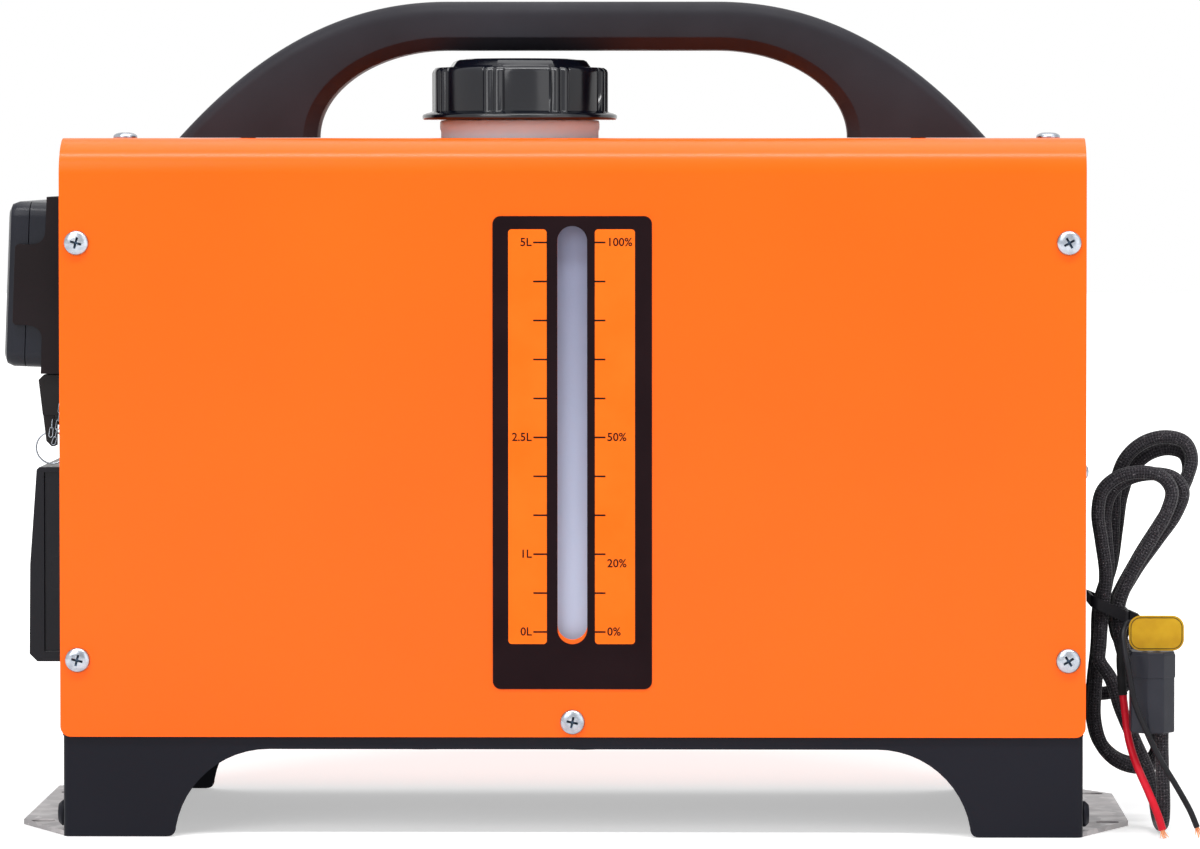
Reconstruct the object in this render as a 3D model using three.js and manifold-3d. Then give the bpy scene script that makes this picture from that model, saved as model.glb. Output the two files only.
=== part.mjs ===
// A portable all-in-one diesel air heater: an orange folded cover over a black tray on legs, with a moulded
// carrying arch, a fuel tank with a sight column, a finned heater with its fan, a tilting-vane outlet, a wall
// controller with its fob, and a bundled supply cord. Millimetres, +Z up, the front faces -Y.
import * as THREE from 'three';
import { mergeVertices } from 'three/addons/utils/BufferGeometryUtils.js';
import Module from 'manifold-3d';

const wasm = await Module();
wasm.setup();

// ---------------------------------------------------------------- driving dimensions
// The case.
const caseWidth = 390;
const caseDepth = 145;
const caseHeight = 266;
const coverEdge = 38.2;
const coverSheet = 1.2;
const coverBend = 14;
const coverCorner = 4;
const fit = 0.3;
// The gauge label and the slots behind it.
const labelWidth = 60.5;
const labelBelowSlot = 17.1;
const labelAboveSlot = 3.8;
const labelThick = 0.4;
const labelGap = 0.05;
const labelCorner = 3;
const gaugeSlotWidth = 11.3;
const gaugeSlotTop = 232.6;
const gaugeSlotHeight = 158.9;
const coverSlotLift = 1.7;
// The base tray on its legs.
const baseInset = 0.8;
const baseSheet = 1.5;
const baseBend = 2.5;
const legWidth = 42.4;
const archRadius = 36;
const archTop = 33.4;
const toeRadius = 3.5;
const skirtLift = 2.3;
const baseTabHeight = 14;
const baseTabInset = 24;
// The end panels.
const panelFlange = 18;
const ledgeLength = 33;
const ledgeHalfWidth = 50;
// The pan-head screws of the cover.
const screwHead = 9.4;
const screwHeadHeight = 2.3;
const screwShank = 4;
const screwLength = 7;
const screwInset = 6.7;
const screwUpperZ = 226.2;
const screwLowerZ = 67.5;
const screwMiddleZ = 44.1;
// The floor brackets and their bolts.
const bracketReach = 19.8;
const bracketSheet = 2;
const bracketUpstand = 14;
const bracketFrontChamferShare = 0.241;
const bracketRearChamferShare = 0.166;
const bracketLeftRearChamfer = 3;
const bracketSlotLength = 9;
const bracketSlotWidth = 5.5;
const bracketSlotOut = 11.5;
const bracketSlotShare = 0.58;
const bracketRearGap = 5;
const bracketBoltHead = 10;
const bracketBoltHeadHeight = 2.4;
const bracketBoltShank = 5;
const bracketBoltZ = 8;
const bracketBoltInset = 10;
// The carrying arch.
const handleX = 2;
const handleOuter = 158;
const handleFoot = 54;
const handleTop = 319.5;
const gripThick = 18.9;
const handleDepth = 33;
const handleFlatShare = 0.335;
const handleRound = 6;
const handleBolt = 6;
const handleBoltLength = 24;
const handleBoltHead = 10;
const handleBoltHeadHeight = 4;
const handleBoltInset = 26;
// The fuel tank, its neck and cap.
const tankTopGap = 6.5;
const tankHalfLength = 166;
const tankToCover = 9.3;
const tankCorner = 14;
const tankWall = 2.5;
const tankOverHeater = 3.4;
const sightHalfWidth = 40;
const sightGap = 4.6;
const sightDepth = 14.5;
const sightBottom = 62;
const neckX = -22.9;
const neckOuter = 57;
const neckBore = 48;
const collarDiameter = 62;
const collarThick = 4;
const neckAbove = 22.2;
const collarAbove = 7;
const capFlange = 76.6;
const capFlangeThick = 2.8;
const capBody = 71.3;
const capHeight = 20.5;
const capFlute = 1.6;
const capFluteCount = 8;
const capCrown = 56;
const capPhase = 6.7;
const capCrownHeight = 3.4;
const capRunning = 0.6;
const gasketThick = 1.8;
const fuelTapX = 132;
const fuelTapY = 24;
// The heater unit.
const heaterAxisZ = 99;
const heaterToCover = 21.3;
const heaterLeft = -166;
const heaterRight = 112;
const heaterWall = 2;
const heaterCorner = 18;
const coreRadius = 31;
const coreWall = 4;
const finRadius = 45;
const finThick = 2.4;
const finCount = 12;
const coreLeft = -140;
const coreRight = 14;
const burnerRadius = 22;
const burnerLength = 96;
const burnerWall = 1.5;
const portCount = 4;
const portRadius = 2.5;
const portInset = 34;
const plugRadius = 4;
const plugLength = 34;
const plugInset = 14;
const motorRadius = 22;
const motorLeft = 36;
const motorRight = 84;
const shaftRadius = 2.5;
const shaftRunning = 0.5;
const airWheelRadius = 43;
const airWheelWidth = 14;
const burnWheelRadius = 27;
const burnWheelWidth = 10;
const wheelBlades = 7;
const wheelHub = 10;
const boardLength = 40;
const boardWidth = 34;
const boardThick = 1.6;
const boardLeg = 8;
const chipHalf = 9;
const chipHeight = 5;
const stubRadius = 12;
const stubWall = 1.4;
const exhaustX = -60;
const intakeX = 2;
const stubBottom = 26;
// The dosing pump and the fuel lines.
const pumpX = 148;
const pumpRadius = 13;
const pumpBottom = 62;
const pumpLength = 48;
const nippleRadius = 3;
const nippleBore = 1.2;
const nippleLength = 8;
const plungerRadius = 4;
const plungerLength = 18;
const plungerTravel = 3;
const hoseRadius = 3.5;
const fuelLineRadius = 1.3;
const fuelLineRise = 6;
// The hot-air outlet on the left end.
const outletZ = 102.4;
const outletHalfWidth = 54.5;
const outletHalfHeight = 37.4;
const outletTopReach = 11.8;
const outletReach = 14.7;
const outletBevel = 3;
const outletWall = 6;
const outletPocket = 1;
const collarWall = 2;
const vaneCount = 3;
const vanePitch = 18;
const vaneChord = 13;
const vaneThick = 1.8;
const vanePivotX = 3.5;
const vanePin = 1.2;
const vanePinLength = 2.4;
const crankReach = 5;
const crankPin = 0.8;
const linkThick = 2.4;
const linkWidth = 4.6;
const linkY = 43;
const notchHalf = 4;
// The controller and its wall holder.
const holderBottom = 175.6;
const holderHeight = 67.9;
const holderTopReach = 7.6;
const controllerTilt = 2.1;
const controllerHalf = 52.3;
const controllerHeight = 63.5;
const controllerLift = 2.2;
const rearShellThick = 6.2;
const frontShellThick = 8;
const shellWall = 1.8;
const controllerCorner = 6;
const controllerRound = 3.5;
const earThick = 1.9;
const earHeight = 31;
const earFillet = 6;
const earReach = 11.5;
const lensHalfLength = 36;
const lensHeight = 34;
const lensZ = 40;
const lensThick = 1.2;
const buttonRadius = 4.4;
const buttonZ = 11.5;
const buttonPitch = 19;
const buttonCount = 4;
const buttonProud = 1;
const buttonTravel = 0.8;
const buttonFlange = 1.2;
// The remote fob under the holder, with its split ring.
const fobTop = 175.2;
const fobHeight = 27.6;
const fobTopThick = 11.2;
const fobBottomThick = 8.4;
const fobFront = -52.5;
const fobLength = 57;
const fobRound = 2;
const fobHole = 1.8;
const lugThick = 3.2;
const lugHalf = 4.6;
const ringRadius = 5.9;
const ringWire = 0.6;
const ringY = -47;
const fobHoleRise = 6;
// The supply cord, its gland and what is on it.
const cordDiameter = 5.4;
const cordSides = 6;
const glandY = -12;
const glandZ = 48.6;
const glandRadius = 6.5;
const glandNose = 7;
const glandPlate = 3;
const waistX = 207;
const waistZ = 84;
const waistHalf = 3;
const layerPitch = 6;
const backLayerY = -19.5;
const loopSteps = 24;
const tieWidth = 4.6;
const tieThick = 1.3;
const tieSlope = 0.45;
const tieHead = 6;
const fuseLength = 31;
const fuseWidth = 16.8;
const fuseDepth = 13;
const fuseX = 220.8;
const fuseY = -66;
const fuseBottom = 39.7;
const fuseBevel = 2.6;
const tagLength = 21;
const tagHeight = 13.4;
const tagThick = 0.5;
const tagCorner = 4.5;
const redWire = 3;
const blackWire = 2.5;

// ---------------------------------------------------------------- worked out from them
const halfWidth = caseWidth / 2;
const halfDepth = caseDepth / 2;
const coverInnerY = halfDepth - coverSheet;
const coverInnerZ = caseHeight - coverSheet;
const wallX = halfWidth - baseInset;
const innerWallY = coverInnerY - fit;
const floorTop = coverEdge;
const heaterHalfHeight = heaterAxisZ - floorTop - fit;
const tankBottom = heaterAxisZ + heaterHalfHeight + tankOverHeater;
const tankTop = coverInnerZ - tankTopGap;
const neckTop = caseHeight + neckAbove;
const labelTop = gaugeSlotTop + labelAboveSlot;
const labelHeight = gaugeSlotHeight + labelAboveSlot + labelBelowSlot;
const bracketFrontChamfer = caseDepth * bracketFrontChamferShare;
const bracketRearChamfer = caseDepth * bracketRearChamferShare;
const bracketSlotSpacing = caseDepth * bracketSlotShare;
const handleInner = handleOuter - handleFoot;
const handleFlat = handleOuter * handleFlatShare;
const tankHalfDepth = coverInnerY - tankToCover;
const heaterHalfDepth = coverInnerY - heaterToCover;
const capBottom = caseHeight + collarAbove + fit;
const capTop = capBottom + capHeight;
const gasketBottom = neckTop + fit;
const capCeiling = gasketBottom + gasketThick + fit;

// ---------------------------------------------------------------- shapes
const axisX = new THREE.Vector3(1, 0, 0);
const axisY = new THREE.Vector3(0, 1, 0);
const axisZ = new THREE.Vector3(0, 0, 1);
const alongX = new THREE.Matrix4().makeBasis(axisY, axisZ, axisX);
const alongY = new THREE.Matrix4().makeBasis(axisX, axisZ, axisY.clone().negate());

// A rectangle with round corners, centred on (x, y).
function roundedRect(width, height, radius, x = 0, y = 0) {
  const r = Math.min(radius, width / 2 - 0.01, height / 2 - 0.01);
  const [l, b, w, h] = [x - width / 2, y - height / 2, width, height];
  const shape = new THREE.Shape();
  shape.moveTo(l + r, b);
  shape.lineTo(l + w - r, b);
  shape.absarc(l + w - r, b + r, r, -Math.PI / 2, 0);
  shape.lineTo(l + w, b + h - r);
  shape.absarc(l + w - r, b + h - r, r, 0, Math.PI / 2);
  shape.lineTo(l + r, b + h);
  shape.absarc(l + r, b + h - r, r, Math.PI / 2, Math.PI);
  shape.lineTo(l, b + r);
  shape.absarc(l + r, b + r, r, Math.PI, 1.5 * Math.PI);
  return shape;
}

// A closed outline through straight corners.
function polygon(points) {
  const shape = new THREE.Shape();
  points.forEach(([x, y], i) => (i ? shape.lineTo(x, y) : shape.moveTo(x, y)));
  return shape;
}

// A shape drawn in (Y, Z), (X, Z) or (X, Y) and carried along the third axis.
function prism(axis, shape, from, to, curveSegments = 5) {
  const [low, high] = [Math.min(from, to), Math.max(from, to)];
  const geometry = new THREE.ExtrudeGeometry(shape, { depth: high - low, bevelEnabled: false, curveSegments });
  if (axis === 'x') {
    geometry.applyMatrix4(alongX).translate(low, 0, 0);
  } else if (axis === 'y') {
    geometry.applyMatrix4(alongY).translate(0, high, 0);
  } else {
    geometry.translate(0, 0, low);
  }
  return geometry;
}

// The same with its edges rounded all round; the outline given is the widest one.
function softPrism(axis, shape, from, to, round, steps = 2, curveSegments = 5) {
  const geometry = new THREE.ExtrudeGeometry(shape, {
    depth: to - from - 2 * round,
    bevelEnabled: true,
    bevelThickness: round,
    bevelSize: round,
    bevelOffset: -round,
    bevelSegments: steps,
    curveSegments,
  });
  geometry.translate(0, 0, round);
  if (axis === 'x') {
    geometry.applyMatrix4(alongX).translate(from, 0, 0);
  } else if (axis === 'y') {
    geometry.applyMatrix4(alongY).translate(0, to, 0);
  } else {
    geometry.translate(0, 0, from);
  }
  return geometry;
}

// A box between two corners.
function block(x0, x1, y0, y1, z0, z1) {
  return new THREE.BoxGeometry(x1 - x0, y1 - y0, z1 - z0).translate((x0 + x1) / 2, (y0 + y1) / 2, (z0 + z1) / 2);
}

// A round bar along one axis; a and b place it on the other two, in X, Y, Z order.
function rod(axis, radius, from, to, a = 0, b = 0, sides = 16) {
  const geometry = new THREE.CylinderGeometry(radius, radius, Math.abs(to - from), sides);
  const middle = (from + to) / 2;
  if (axis === 'x') {
    return geometry.rotateZ(-Math.PI / 2).translate(middle, a, b);
  }
  if (axis === 'y') {
    return geometry.translate(a, middle, b);
  }
  return geometry.rotateX(Math.PI / 2).translate(a, b, middle);
}

// A profile of (radius, height) points turned about Z.
function turned(profile, sides = 16) {
  return new THREE.LatheGeometry(profile.map(([r, h]) => new THREE.Vector2(r, h)), sides).rotateX(Math.PI / 2);
}

// A closed geometry as a solid, for cutting and joining.
function solid(geometry) {
  const bare = geometry.clone();
  bare.deleteAttribute('normal');
  bare.deleteAttribute('uv');
  const merged = mergeVertices(bare, 1e-4);
  const corners = merged.index.array;
  const kept = [];
  for (let i = 0; i < corners.length; i += 3) {
    const [a, b, c] = [corners[i], corners[i + 1], corners[i + 2]];
    if (a !== b && b !== c && c !== a) {
      kept.push(a, b, c);
    }
  }
  const vertProperties = new Float32Array(merged.attributes.position.array);
  return new wasm.Manifold(new wasm.Mesh({ numProp: 3, vertProperties, triVerts: new Uint32Array(kept) }));
}

// The first shape with the others joined on.
function join(first, ...others) {
  return others.reduce((body, other) => body.add(asSolid(other)), asSolid(first));
}

// The first shape with the others cut away.
function cut(first, ...others) {
  return others.reduce((body, other) => body.subtract(asSolid(other)), asSolid(first));
}

function asSolid(shape) {
  return shape.isBufferGeometry ? solid(shape) : shape;
}

function asGeometry(shape) {
  if (shape.isBufferGeometry) {
    return shape;
  }
  const mesh = shape.getMesh();
  const geometry = new THREE.BufferGeometry();
  geometry.setAttribute('position', new THREE.BufferAttribute(new Float32Array(mesh.vertProperties), 3));
  geometry.setIndex(new THREE.BufferAttribute(new Uint32Array(mesh.triVerts), 1));
  geometry.computeVertexNormals();
  return geometry;
}

// ---------------------------------------------------------------- finishes
const finish = {
  orange: { color: '#ff7220', roughness: 0.42, metalness: 0 },
  blackCoat: { color: '#1b1b1d', roughness: 0.5, metalness: 0 },
  moulded: { color: '#232224', roughness: 0.6, metalness: 0 },
  gloss: { color: '#141416', roughness: 0.25, metalness: 0 },
  label: { color: '#17171a', roughness: 0.5, metalness: 0 },
  milky: { color: '#e8e6ea', roughness: 0.5, metalness: 0 },
  zinc: { color: '#c9ced2', roughness: 0.3, metalness: 1 },
  steel: { color: '#b9b7b4', roughness: 0.45, metalness: 1 },
  castAluminium: { color: '#9a9c9e', roughness: 0.6, metalness: 1 },
  rubber: { color: '#1d1d1d', roughness: 0.85, metalness: 0 },
  braid: { color: '#1a1a1b', roughness: 0.8, metalness: 0 },
  red: { color: '#c8182a', roughness: 0.4, metalness: 0 },
  yellow: { color: '#f0d21c', roughness: 0.5, metalness: 0 },
  board: { color: '#1d5a37', roughness: 0.5, metalness: 0 },
  screen: { color: '#20262b', roughness: 0.12, metalness: 0 },
};

const heater = new THREE.Group();
heater.name = 'diesel_air_heater';

function piece(name, shape, look, parent = heater) {
  const mesh = new THREE.Mesh(asGeometry(shape), new THREE.MeshStandardMaterial(finish[look]));
  mesh.name = name;
  parent.add(mesh);
  return mesh;
}

function section(x = 0, y = 0, z = 0, parent = heater) {
  const group = new THREE.Group();
  group.position.set(x, y, z);
  parent.add(group);
  return group;
}

// ---------------------------------------------------------------- screws of the cover
const screwX = halfWidth - screwInset;
const screwPlaces = [
  [-screwX, screwUpperZ],
  [screwX, screwUpperZ],
  [-screwX, screwLowerZ],
  [screwX, screwLowerZ],
  [0, screwMiddleZ],
];
const screwHoles = screwPlaces.map(([x, z]) =>
  rod('y', screwShank / 2 + fit, -halfDepth - 1, -halfDepth + screwLength + 1, x, z, 12),
);
const screwProfile = [
  [0, -screwLength],
  [screwShank / 2, -screwLength],
  [screwShank / 2, 0],
  [screwHead / 2, 0],
  [screwHead / 2, screwHeadHeight * 0.35],
  [screwHead * 0.38, screwHeadHeight * 0.82],
  [0, screwHeadHeight],
];
screwPlaces.forEach(([x, z], i) => {
  const screw = piece(`cover_screw_${i + 1}`, turned(screwProfile, 10), 'zinc');
  screw.rotation.x = Math.PI / 2;
  screw.position.set(x, -halfDepth - labelGap, z);
});

// ---------------------------------------------------------------- cover
// The sheet's outline in (Y, Z): up the front, over the top and down the back.
function coverOutline(offset) {
  const [y, top, r] = [halfDepth - offset, caseHeight - offset, Math.max(coverBend - offset, 0.5)];
  const shape = new THREE.Shape();
  shape.moveTo(-y, coverEdge);
  shape.lineTo(y, coverEdge);
  shape.lineTo(y, top - r);
  shape.absarc(y - r, top - r, r, 0, Math.PI / 2);
  shape.lineTo(-y + r, top);
  shape.absarc(-y + r, top - r, r, Math.PI / 2, Math.PI);
  return shape;
}
function coverCornerCutter(side) {
  const [x, z, r] = [side * halfWidth, coverEdge, coverCorner];
  const corner = block(Math.min(x, x - side * r), Math.max(x, x - side * r), -caseDepth, caseDepth, z - 1, z + r);
  return cut(corner, rod('y', r, -caseDepth - 1, caseDepth + 1, x - side * r, z + r, 24)).subtract(
    solid(block(x - side * r - 1, x - side * r + 1, -caseDepth, caseDepth, z - 2, z - 1)),
  );
}
const coverHollow = coverOutline(coverSheet);
const gaugeSlotZ = gaugeSlotTop - gaugeSlotHeight / 2;
const coverSlot = roundedRect(
  gaugeSlotWidth,
  gaugeSlotHeight - coverSlotLift,
  gaugeSlotWidth / 2,
  0,
  gaugeSlotZ + coverSlotLift / 2,
);
const handleBoltX = [handleX - handleOuter + handleBoltInset, handleX + handleOuter - handleBoltInset];
const coverBody = cut(
  prism('x', coverOutline(0), -halfWidth, halfWidth, 6),
  prism('x', coverHollow, -halfWidth - 1, halfWidth + 1, 6),
  block(-halfWidth - 1, halfWidth + 1, -coverInnerY, coverInnerY, 0, caseHeight / 2),
  prism('y', coverSlot, -halfDepth - 1, -coverInnerY + 1, 8),
  rod('z', collarDiameter / 2 + 2 * fit, coverInnerZ - 1, caseHeight + 1, neckX, 0, 32),
  coverCornerCutter(-1),
  coverCornerCutter(1),
  ...screwHoles,
  ...handleBoltX.map((x) => rod('z', handleBolt / 2 + fit, coverInnerZ - 1, caseHeight + 1, x, 0, 12)),
);
piece('cover_shell', coverBody, 'orange');

// ---------------------------------------------------------------- gauge label
const labelShape = roundedRect(labelWidth, labelHeight, labelCorner, 0, labelTop - labelHeight / 2);
labelShape.holes.push(roundedRect(gaugeSlotWidth, gaugeSlotHeight, gaugeSlotWidth / 2, 0, gaugeSlotZ));
const labelBack = -halfDepth - labelGap;
piece('gauge_label', prism('y', labelShape, labelBack - labelThick, labelBack, 6), 'label');

// ---------------------------------------------------------------- base tray
// The opening between two legs, drawn in (X, Z): flat above, round down to each leg, small toes.
function archShape() {
  const x = wallX - legWidth;
  const z = archTop - archRadius;
  const shape = new THREE.Shape();
  const foot = Math.acos(Math.min(0.99, (toeRadius - z) / archRadius));
  const toeX = x - archRadius + Math.sin(foot) * archRadius;
  shape.moveTo(-toeX - toeRadius, -1);
  shape.lineTo(toeX + toeRadius, -1);
  shape.lineTo(toeX + toeRadius, 0);
  shape.quadraticCurveTo(toeX, 0, toeX, toeRadius);
  shape.absarc(x - archRadius, z, archRadius, Math.PI / 2 - foot, Math.PI / 2);
  shape.lineTo(-x + archRadius, archTop);
  shape.absarc(-x + archRadius, z, archRadius, Math.PI / 2, Math.PI / 2 + foot);
  shape.quadraticCurveTo(-toeX, 0, -toeX - toeRadius, 0);
  return shape;
}
const bracketBoltY = -halfDepth + bracketBoltInset;
const tabTop = coverEdge + baseTabHeight;
const baseOuter = roundedRect(2 * wallX, 2 * innerWallY, baseBend);
const baseInner = roundedRect(2 * (wallX - baseSheet), 2 * (innerWallY - baseSheet), baseBend - baseSheet);
const baseBody = cut(
  prism('z', baseOuter, 0, tabTop, 4),
  prism('z', baseInner, -1, floorTop - baseSheet, 4),
  prism('z', baseInner, floorTop, tabTop + 1, 4),
  block(-caseWidth, -wallX + baseTabInset, -caseDepth, caseDepth, floorTop, tabTop + 1),
  block(wallX - baseTabInset, caseWidth, -caseDepth, caseDepth, floorTop, tabTop + 1),
  prism('y', archShape(), -caseDepth, caseDepth, 6),
  block(-caseWidth, caseWidth, -innerWallY + baseBend, innerWallY - baseBend, -1, skirtLift),
  rod('z', stubRadius + 2, 0, tabTop, exhaustX, 0, 20),
  rod('z', stubRadius + 2, 0, tabTop, intakeX, 0, 20),
  rod('x', bracketBoltShank / 2 + fit, -caseWidth, caseWidth, bracketBoltY, bracketBoltZ, 12),
  screwHoles[4],
);
piece('base_tray', baseBody, 'blackCoat');

// ---------------------------------------------------------------- end panels
// An end panel is a shallow pan: its outline follows the inside of the cover, its rim turns inwards.
function panelOutline(offset) {
  const [y, top, bottom] = [innerWallY - offset, coverInnerZ - fit - offset, floorTop + fit + offset];
  const r = Math.max(coverBend - coverSheet - fit - offset, 0.5);
  const shape = new THREE.Shape();
  shape.moveTo(-y, bottom);
  shape.lineTo(y, bottom);
  shape.lineTo(y, top - r);
  shape.absarc(y - r, top - r, r, 0, Math.PI / 2);
  shape.lineTo(-y + r, top);
  shape.absarc(-y + r, top - r, r, Math.PI / 2, Math.PI);
  return shape;
}
const duct = {
  halfWidth: outletHalfWidth - outletWall,
  halfHeight: outletHalfHeight - outletWall,
};
const panelTabCutY = innerWallY - baseSheet - fit;
function endPanel(side) {
  const [outer, inner, rim] = [side * wallX, side * (wallX - coverSheet), side * (wallX - panelFlange)];
  const ledgeTop = tankBottom - fit;
  const ledgeX = [inner + side * 0.2, side * (wallX - ledgeLength)];
  const pan = cut(
    prism('x', panelOutline(0), outer, rim, 5),
    prism('x', panelOutline(coverSheet), inner, rim - side, 5),
    ...screwHoles.slice(0, 4),
  );
  const ledge = block(
    Math.min(...ledgeX),
    Math.max(...ledgeX),
    -ledgeHalfWidth,
    ledgeHalfWidth,
    ledgeTop - coverSheet,
    ledgeTop,
  );
  return join(pan, ledge);
}
const ductHole = roundedRect(
  2 * (duct.halfWidth + collarWall + fit),
  2 * (duct.halfHeight + collarWall + fit),
  4,
  0,
  outletZ,
);
piece('side_panel_left', cut(endPanel(-1), prism('x', ductHole, -wallX - 1, -wallX + 3)), 'blackCoat');

// The intake grille: level slots that fill a circle in the right panel.
const grilleY = 17;
const grilleZ = 103;
const grilleRadius = 40;
const grillePitch = 9;
const grilleSlot = 4;
const grilleRows = Math.floor(grilleRadius / grillePitch);
const grilleSlots = [];
for (let row = -grilleRows + 1; row < grilleRows; row += 1) {
  const z = row * grillePitch;
  const length = 2 * Math.sqrt(grilleRadius ** 2 - z ** 2);
  const slot = roundedRect(length, grilleSlot, grilleSlot / 2, grilleY, grilleZ + z);
  grilleSlots.push(prism('x', slot, wallX - 3, wallX + 1, 2));
}
const glandHole = rod('x', glandRadius - 1.5 + fit, wallX - 3, wallX + 1, glandY, glandZ, 16);
piece('side_panel_right', cut(endPanel(1), glandHole, ...grilleSlots), 'blackCoat');

// ---------------------------------------------------------------- floor brackets and their bolts
function bracket(side, rearChamfer) {
  const inner = wallX - baseSheet - fit - bracketSheet;
  const reach = wallX + bracketReach;
  const front = -innerWallY + baseBend;
  const rear = innerWallY - bracketRearGap;
  const outline = polygon([
    [side * inner, front],
    [side * wallX, front],
    [side * reach, -halfDepth + bracketFrontChamfer],
    [side * reach, rear - rearChamfer],
    [side * wallX, rear],
    [side * inner, rear],
  ]);
  const upstand = [side * inner, side * (inner + bracketSheet)];
  const body = join(
    prism('z', outline, 0, bracketSheet),
    block(Math.min(...upstand), Math.max(...upstand), front, rear, 0.2, bracketUpstand),
  );
  const slotMiddle = side * (wallX + bracketSlotOut);
  const slots = [-0.5, 0.5].map((k) =>
    prism(
      'z',
      roundedRect(bracketSlotLength, bracketSlotWidth, bracketSlotWidth / 2, slotMiddle, k * bracketSlotSpacing),
      -1,
      bracketSheet + 1,
      5,
    ),
  );
  const hole = rod('x', bracketBoltShank / 2 + fit, side * (inner - 2), side * wallX, bracketBoltY, bracketBoltZ, 12);
  return cut(body, hole, ...slots);
}
const bracketBoltProfile = [
  [0, -bracketBoltHeadHeight - baseSheet - bracketSheet],
  [bracketBoltShank / 2, -bracketBoltHeadHeight - baseSheet - bracketSheet],
  [bracketBoltShank / 2, 0],
  [bracketBoltHead / 2, 0],
  [bracketBoltHead / 2, bracketBoltHeadHeight * 0.4],
  [bracketBoltHead * 0.36, bracketBoltHeadHeight],
  [0, bracketBoltHeadHeight],
];
[
  [-1, 'left', bracketLeftRearChamfer],
  [1, 'right', bracketRearChamfer],
].forEach(([side, name, rearChamfer]) => {
  piece(`foot_bracket_${name}`, bracket(side, rearChamfer), 'steel');
  const bolt = piece(`bracket_bolt_${name}`, turned(bracketBoltProfile, 10), 'blackCoat');
  bolt.rotation.y = (side * Math.PI) / 2;
  bolt.position.set(side * (wallX + fit), bracketBoltY, bracketBoltZ);
});

// ---------------------------------------------------------------- carrying arch and its bolts
function handleShape() {
  const foot = caseHeight + fit;
  const under = handleTop - gripThick;
  const rise = handleTop - foot;
  const [outer, inner, flat] = [handleOuter, handleInner, handleFlat];
  const shape = new THREE.Shape();
  shape.moveTo(-outer, foot);
  shape.bezierCurveTo(-outer + rise * 0.55, foot + rise * 0.61, -flat - rise * 0.8, handleTop, -flat, handleTop);
  shape.lineTo(flat, handleTop);
  shape.bezierCurveTo(flat + rise * 0.8, handleTop, outer - rise * 0.55, foot + rise * 0.61, outer, foot);
  shape.lineTo(inner, foot);
  shape.bezierCurveTo(inner, foot + rise * 0.36, flat + rise * 0.52, under, flat, under);
  shape.lineTo(-flat, under);
  shape.bezierCurveTo(-flat - rise * 0.52, under, -inner, foot + rise * 0.36, -inner, foot);
  return shape;
}
const archBody = softPrism('y', handleShape(), -handleDepth / 2, handleDepth / 2, handleRound, 3, 12);
const squareFoot = block(-caseWidth, caseWidth, -handleDepth, handleDepth, 0, caseHeight + fit);
const handleHoles = handleBoltX.map((x) =>
  rod('z', handleBolt / 2 + fit, caseHeight - 2, coverInnerZ + handleBoltLength + fit, x - handleX, 0, 12),
);
const handleGroup = section(handleX);
piece('handle', cut(archBody, squareFoot, ...handleHoles), 'moulded', handleGroup);
['left', 'right'].forEach((name, i) => {
  const head = rod('z', handleBoltHead / 2, -handleBoltHeadHeight, 0, 0, 0, 6);
  const bolt = piece(`handle_bolt_${name}`, join(head, rod('z', handleBolt / 2, -1, handleBoltLength, 0, 0, 12)), 'zinc');
  bolt.position.set(handleBoltX[i], 0, coverInnerZ - fit);
});

// ---------------------------------------------------------------- fuel tank, gasket and cap
const sightFront = -coverInnerY + sightGap;
const tankMiddleZ = (tankBottom + tankTop) / 2;
const tankBody = join(
  softPrism('z', roundedRect(2 * tankHalfLength, 2 * tankHalfDepth, tankCorner), tankBottom, tankTop, 4, 2, 4),
  block(-sightHalfWidth, sightHalfWidth, sightFront, sightFront + sightDepth, sightBottom, tankTop - 6),
  rod('z', collarDiameter / 2, tankTop - 1, caseHeight + collarAbove - collarThick / 2, neckX, 0, 24),
  rod('z', neckOuter / 2, tankTop - 1, neckTop, neckX, 0, 24),
);
const collarBead = turned(
  [
    [0, -collarThick / 2],
    [collarDiameter / 2, -collarThick / 2],
    [collarDiameter / 2 + 0.4, 0],
    [collarDiameter / 2, collarThick / 2],
    [0, collarThick / 2],
  ],
  24,
).translate(neckX, 0, caseHeight + collarAbove - collarThick / 2);
const cavity = join(
  prism(
    'z',
    roundedRect(2 * (tankHalfLength - tankWall), 2 * (tankHalfDepth - tankWall), tankCorner - tankWall),
    tankBottom + tankWall,
    tankTop - tankWall,
    4,
  ),
  block(
    -sightHalfWidth + tankWall,
    sightHalfWidth - tankWall,
    sightFront + tankWall,
    sightFront + sightDepth - tankWall,
    sightBottom + tankWall,
    tankMiddleZ,
  ),
  rod('z', neckBore / 2, tankTop - 2 * tankWall, neckTop + 1, neckX, 0, 24),
);
const tapBore = rod('z', nippleBore + 1, tankBottom - 1, tankBottom + tankWall + 1, fuelTapX, fuelTapY, 10);
piece('fuel_tank', cut(join(tankBody, collarBead), cavity, tapBore), 'milky');

const capGroup = section(neckX, 0, 0);
piece('cap_gasket', rod('z', neckOuter / 2 - 1, 0, gasketThick, 0, 0, 24), 'rubber', capGroup).position.z = gasketBottom;

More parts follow.
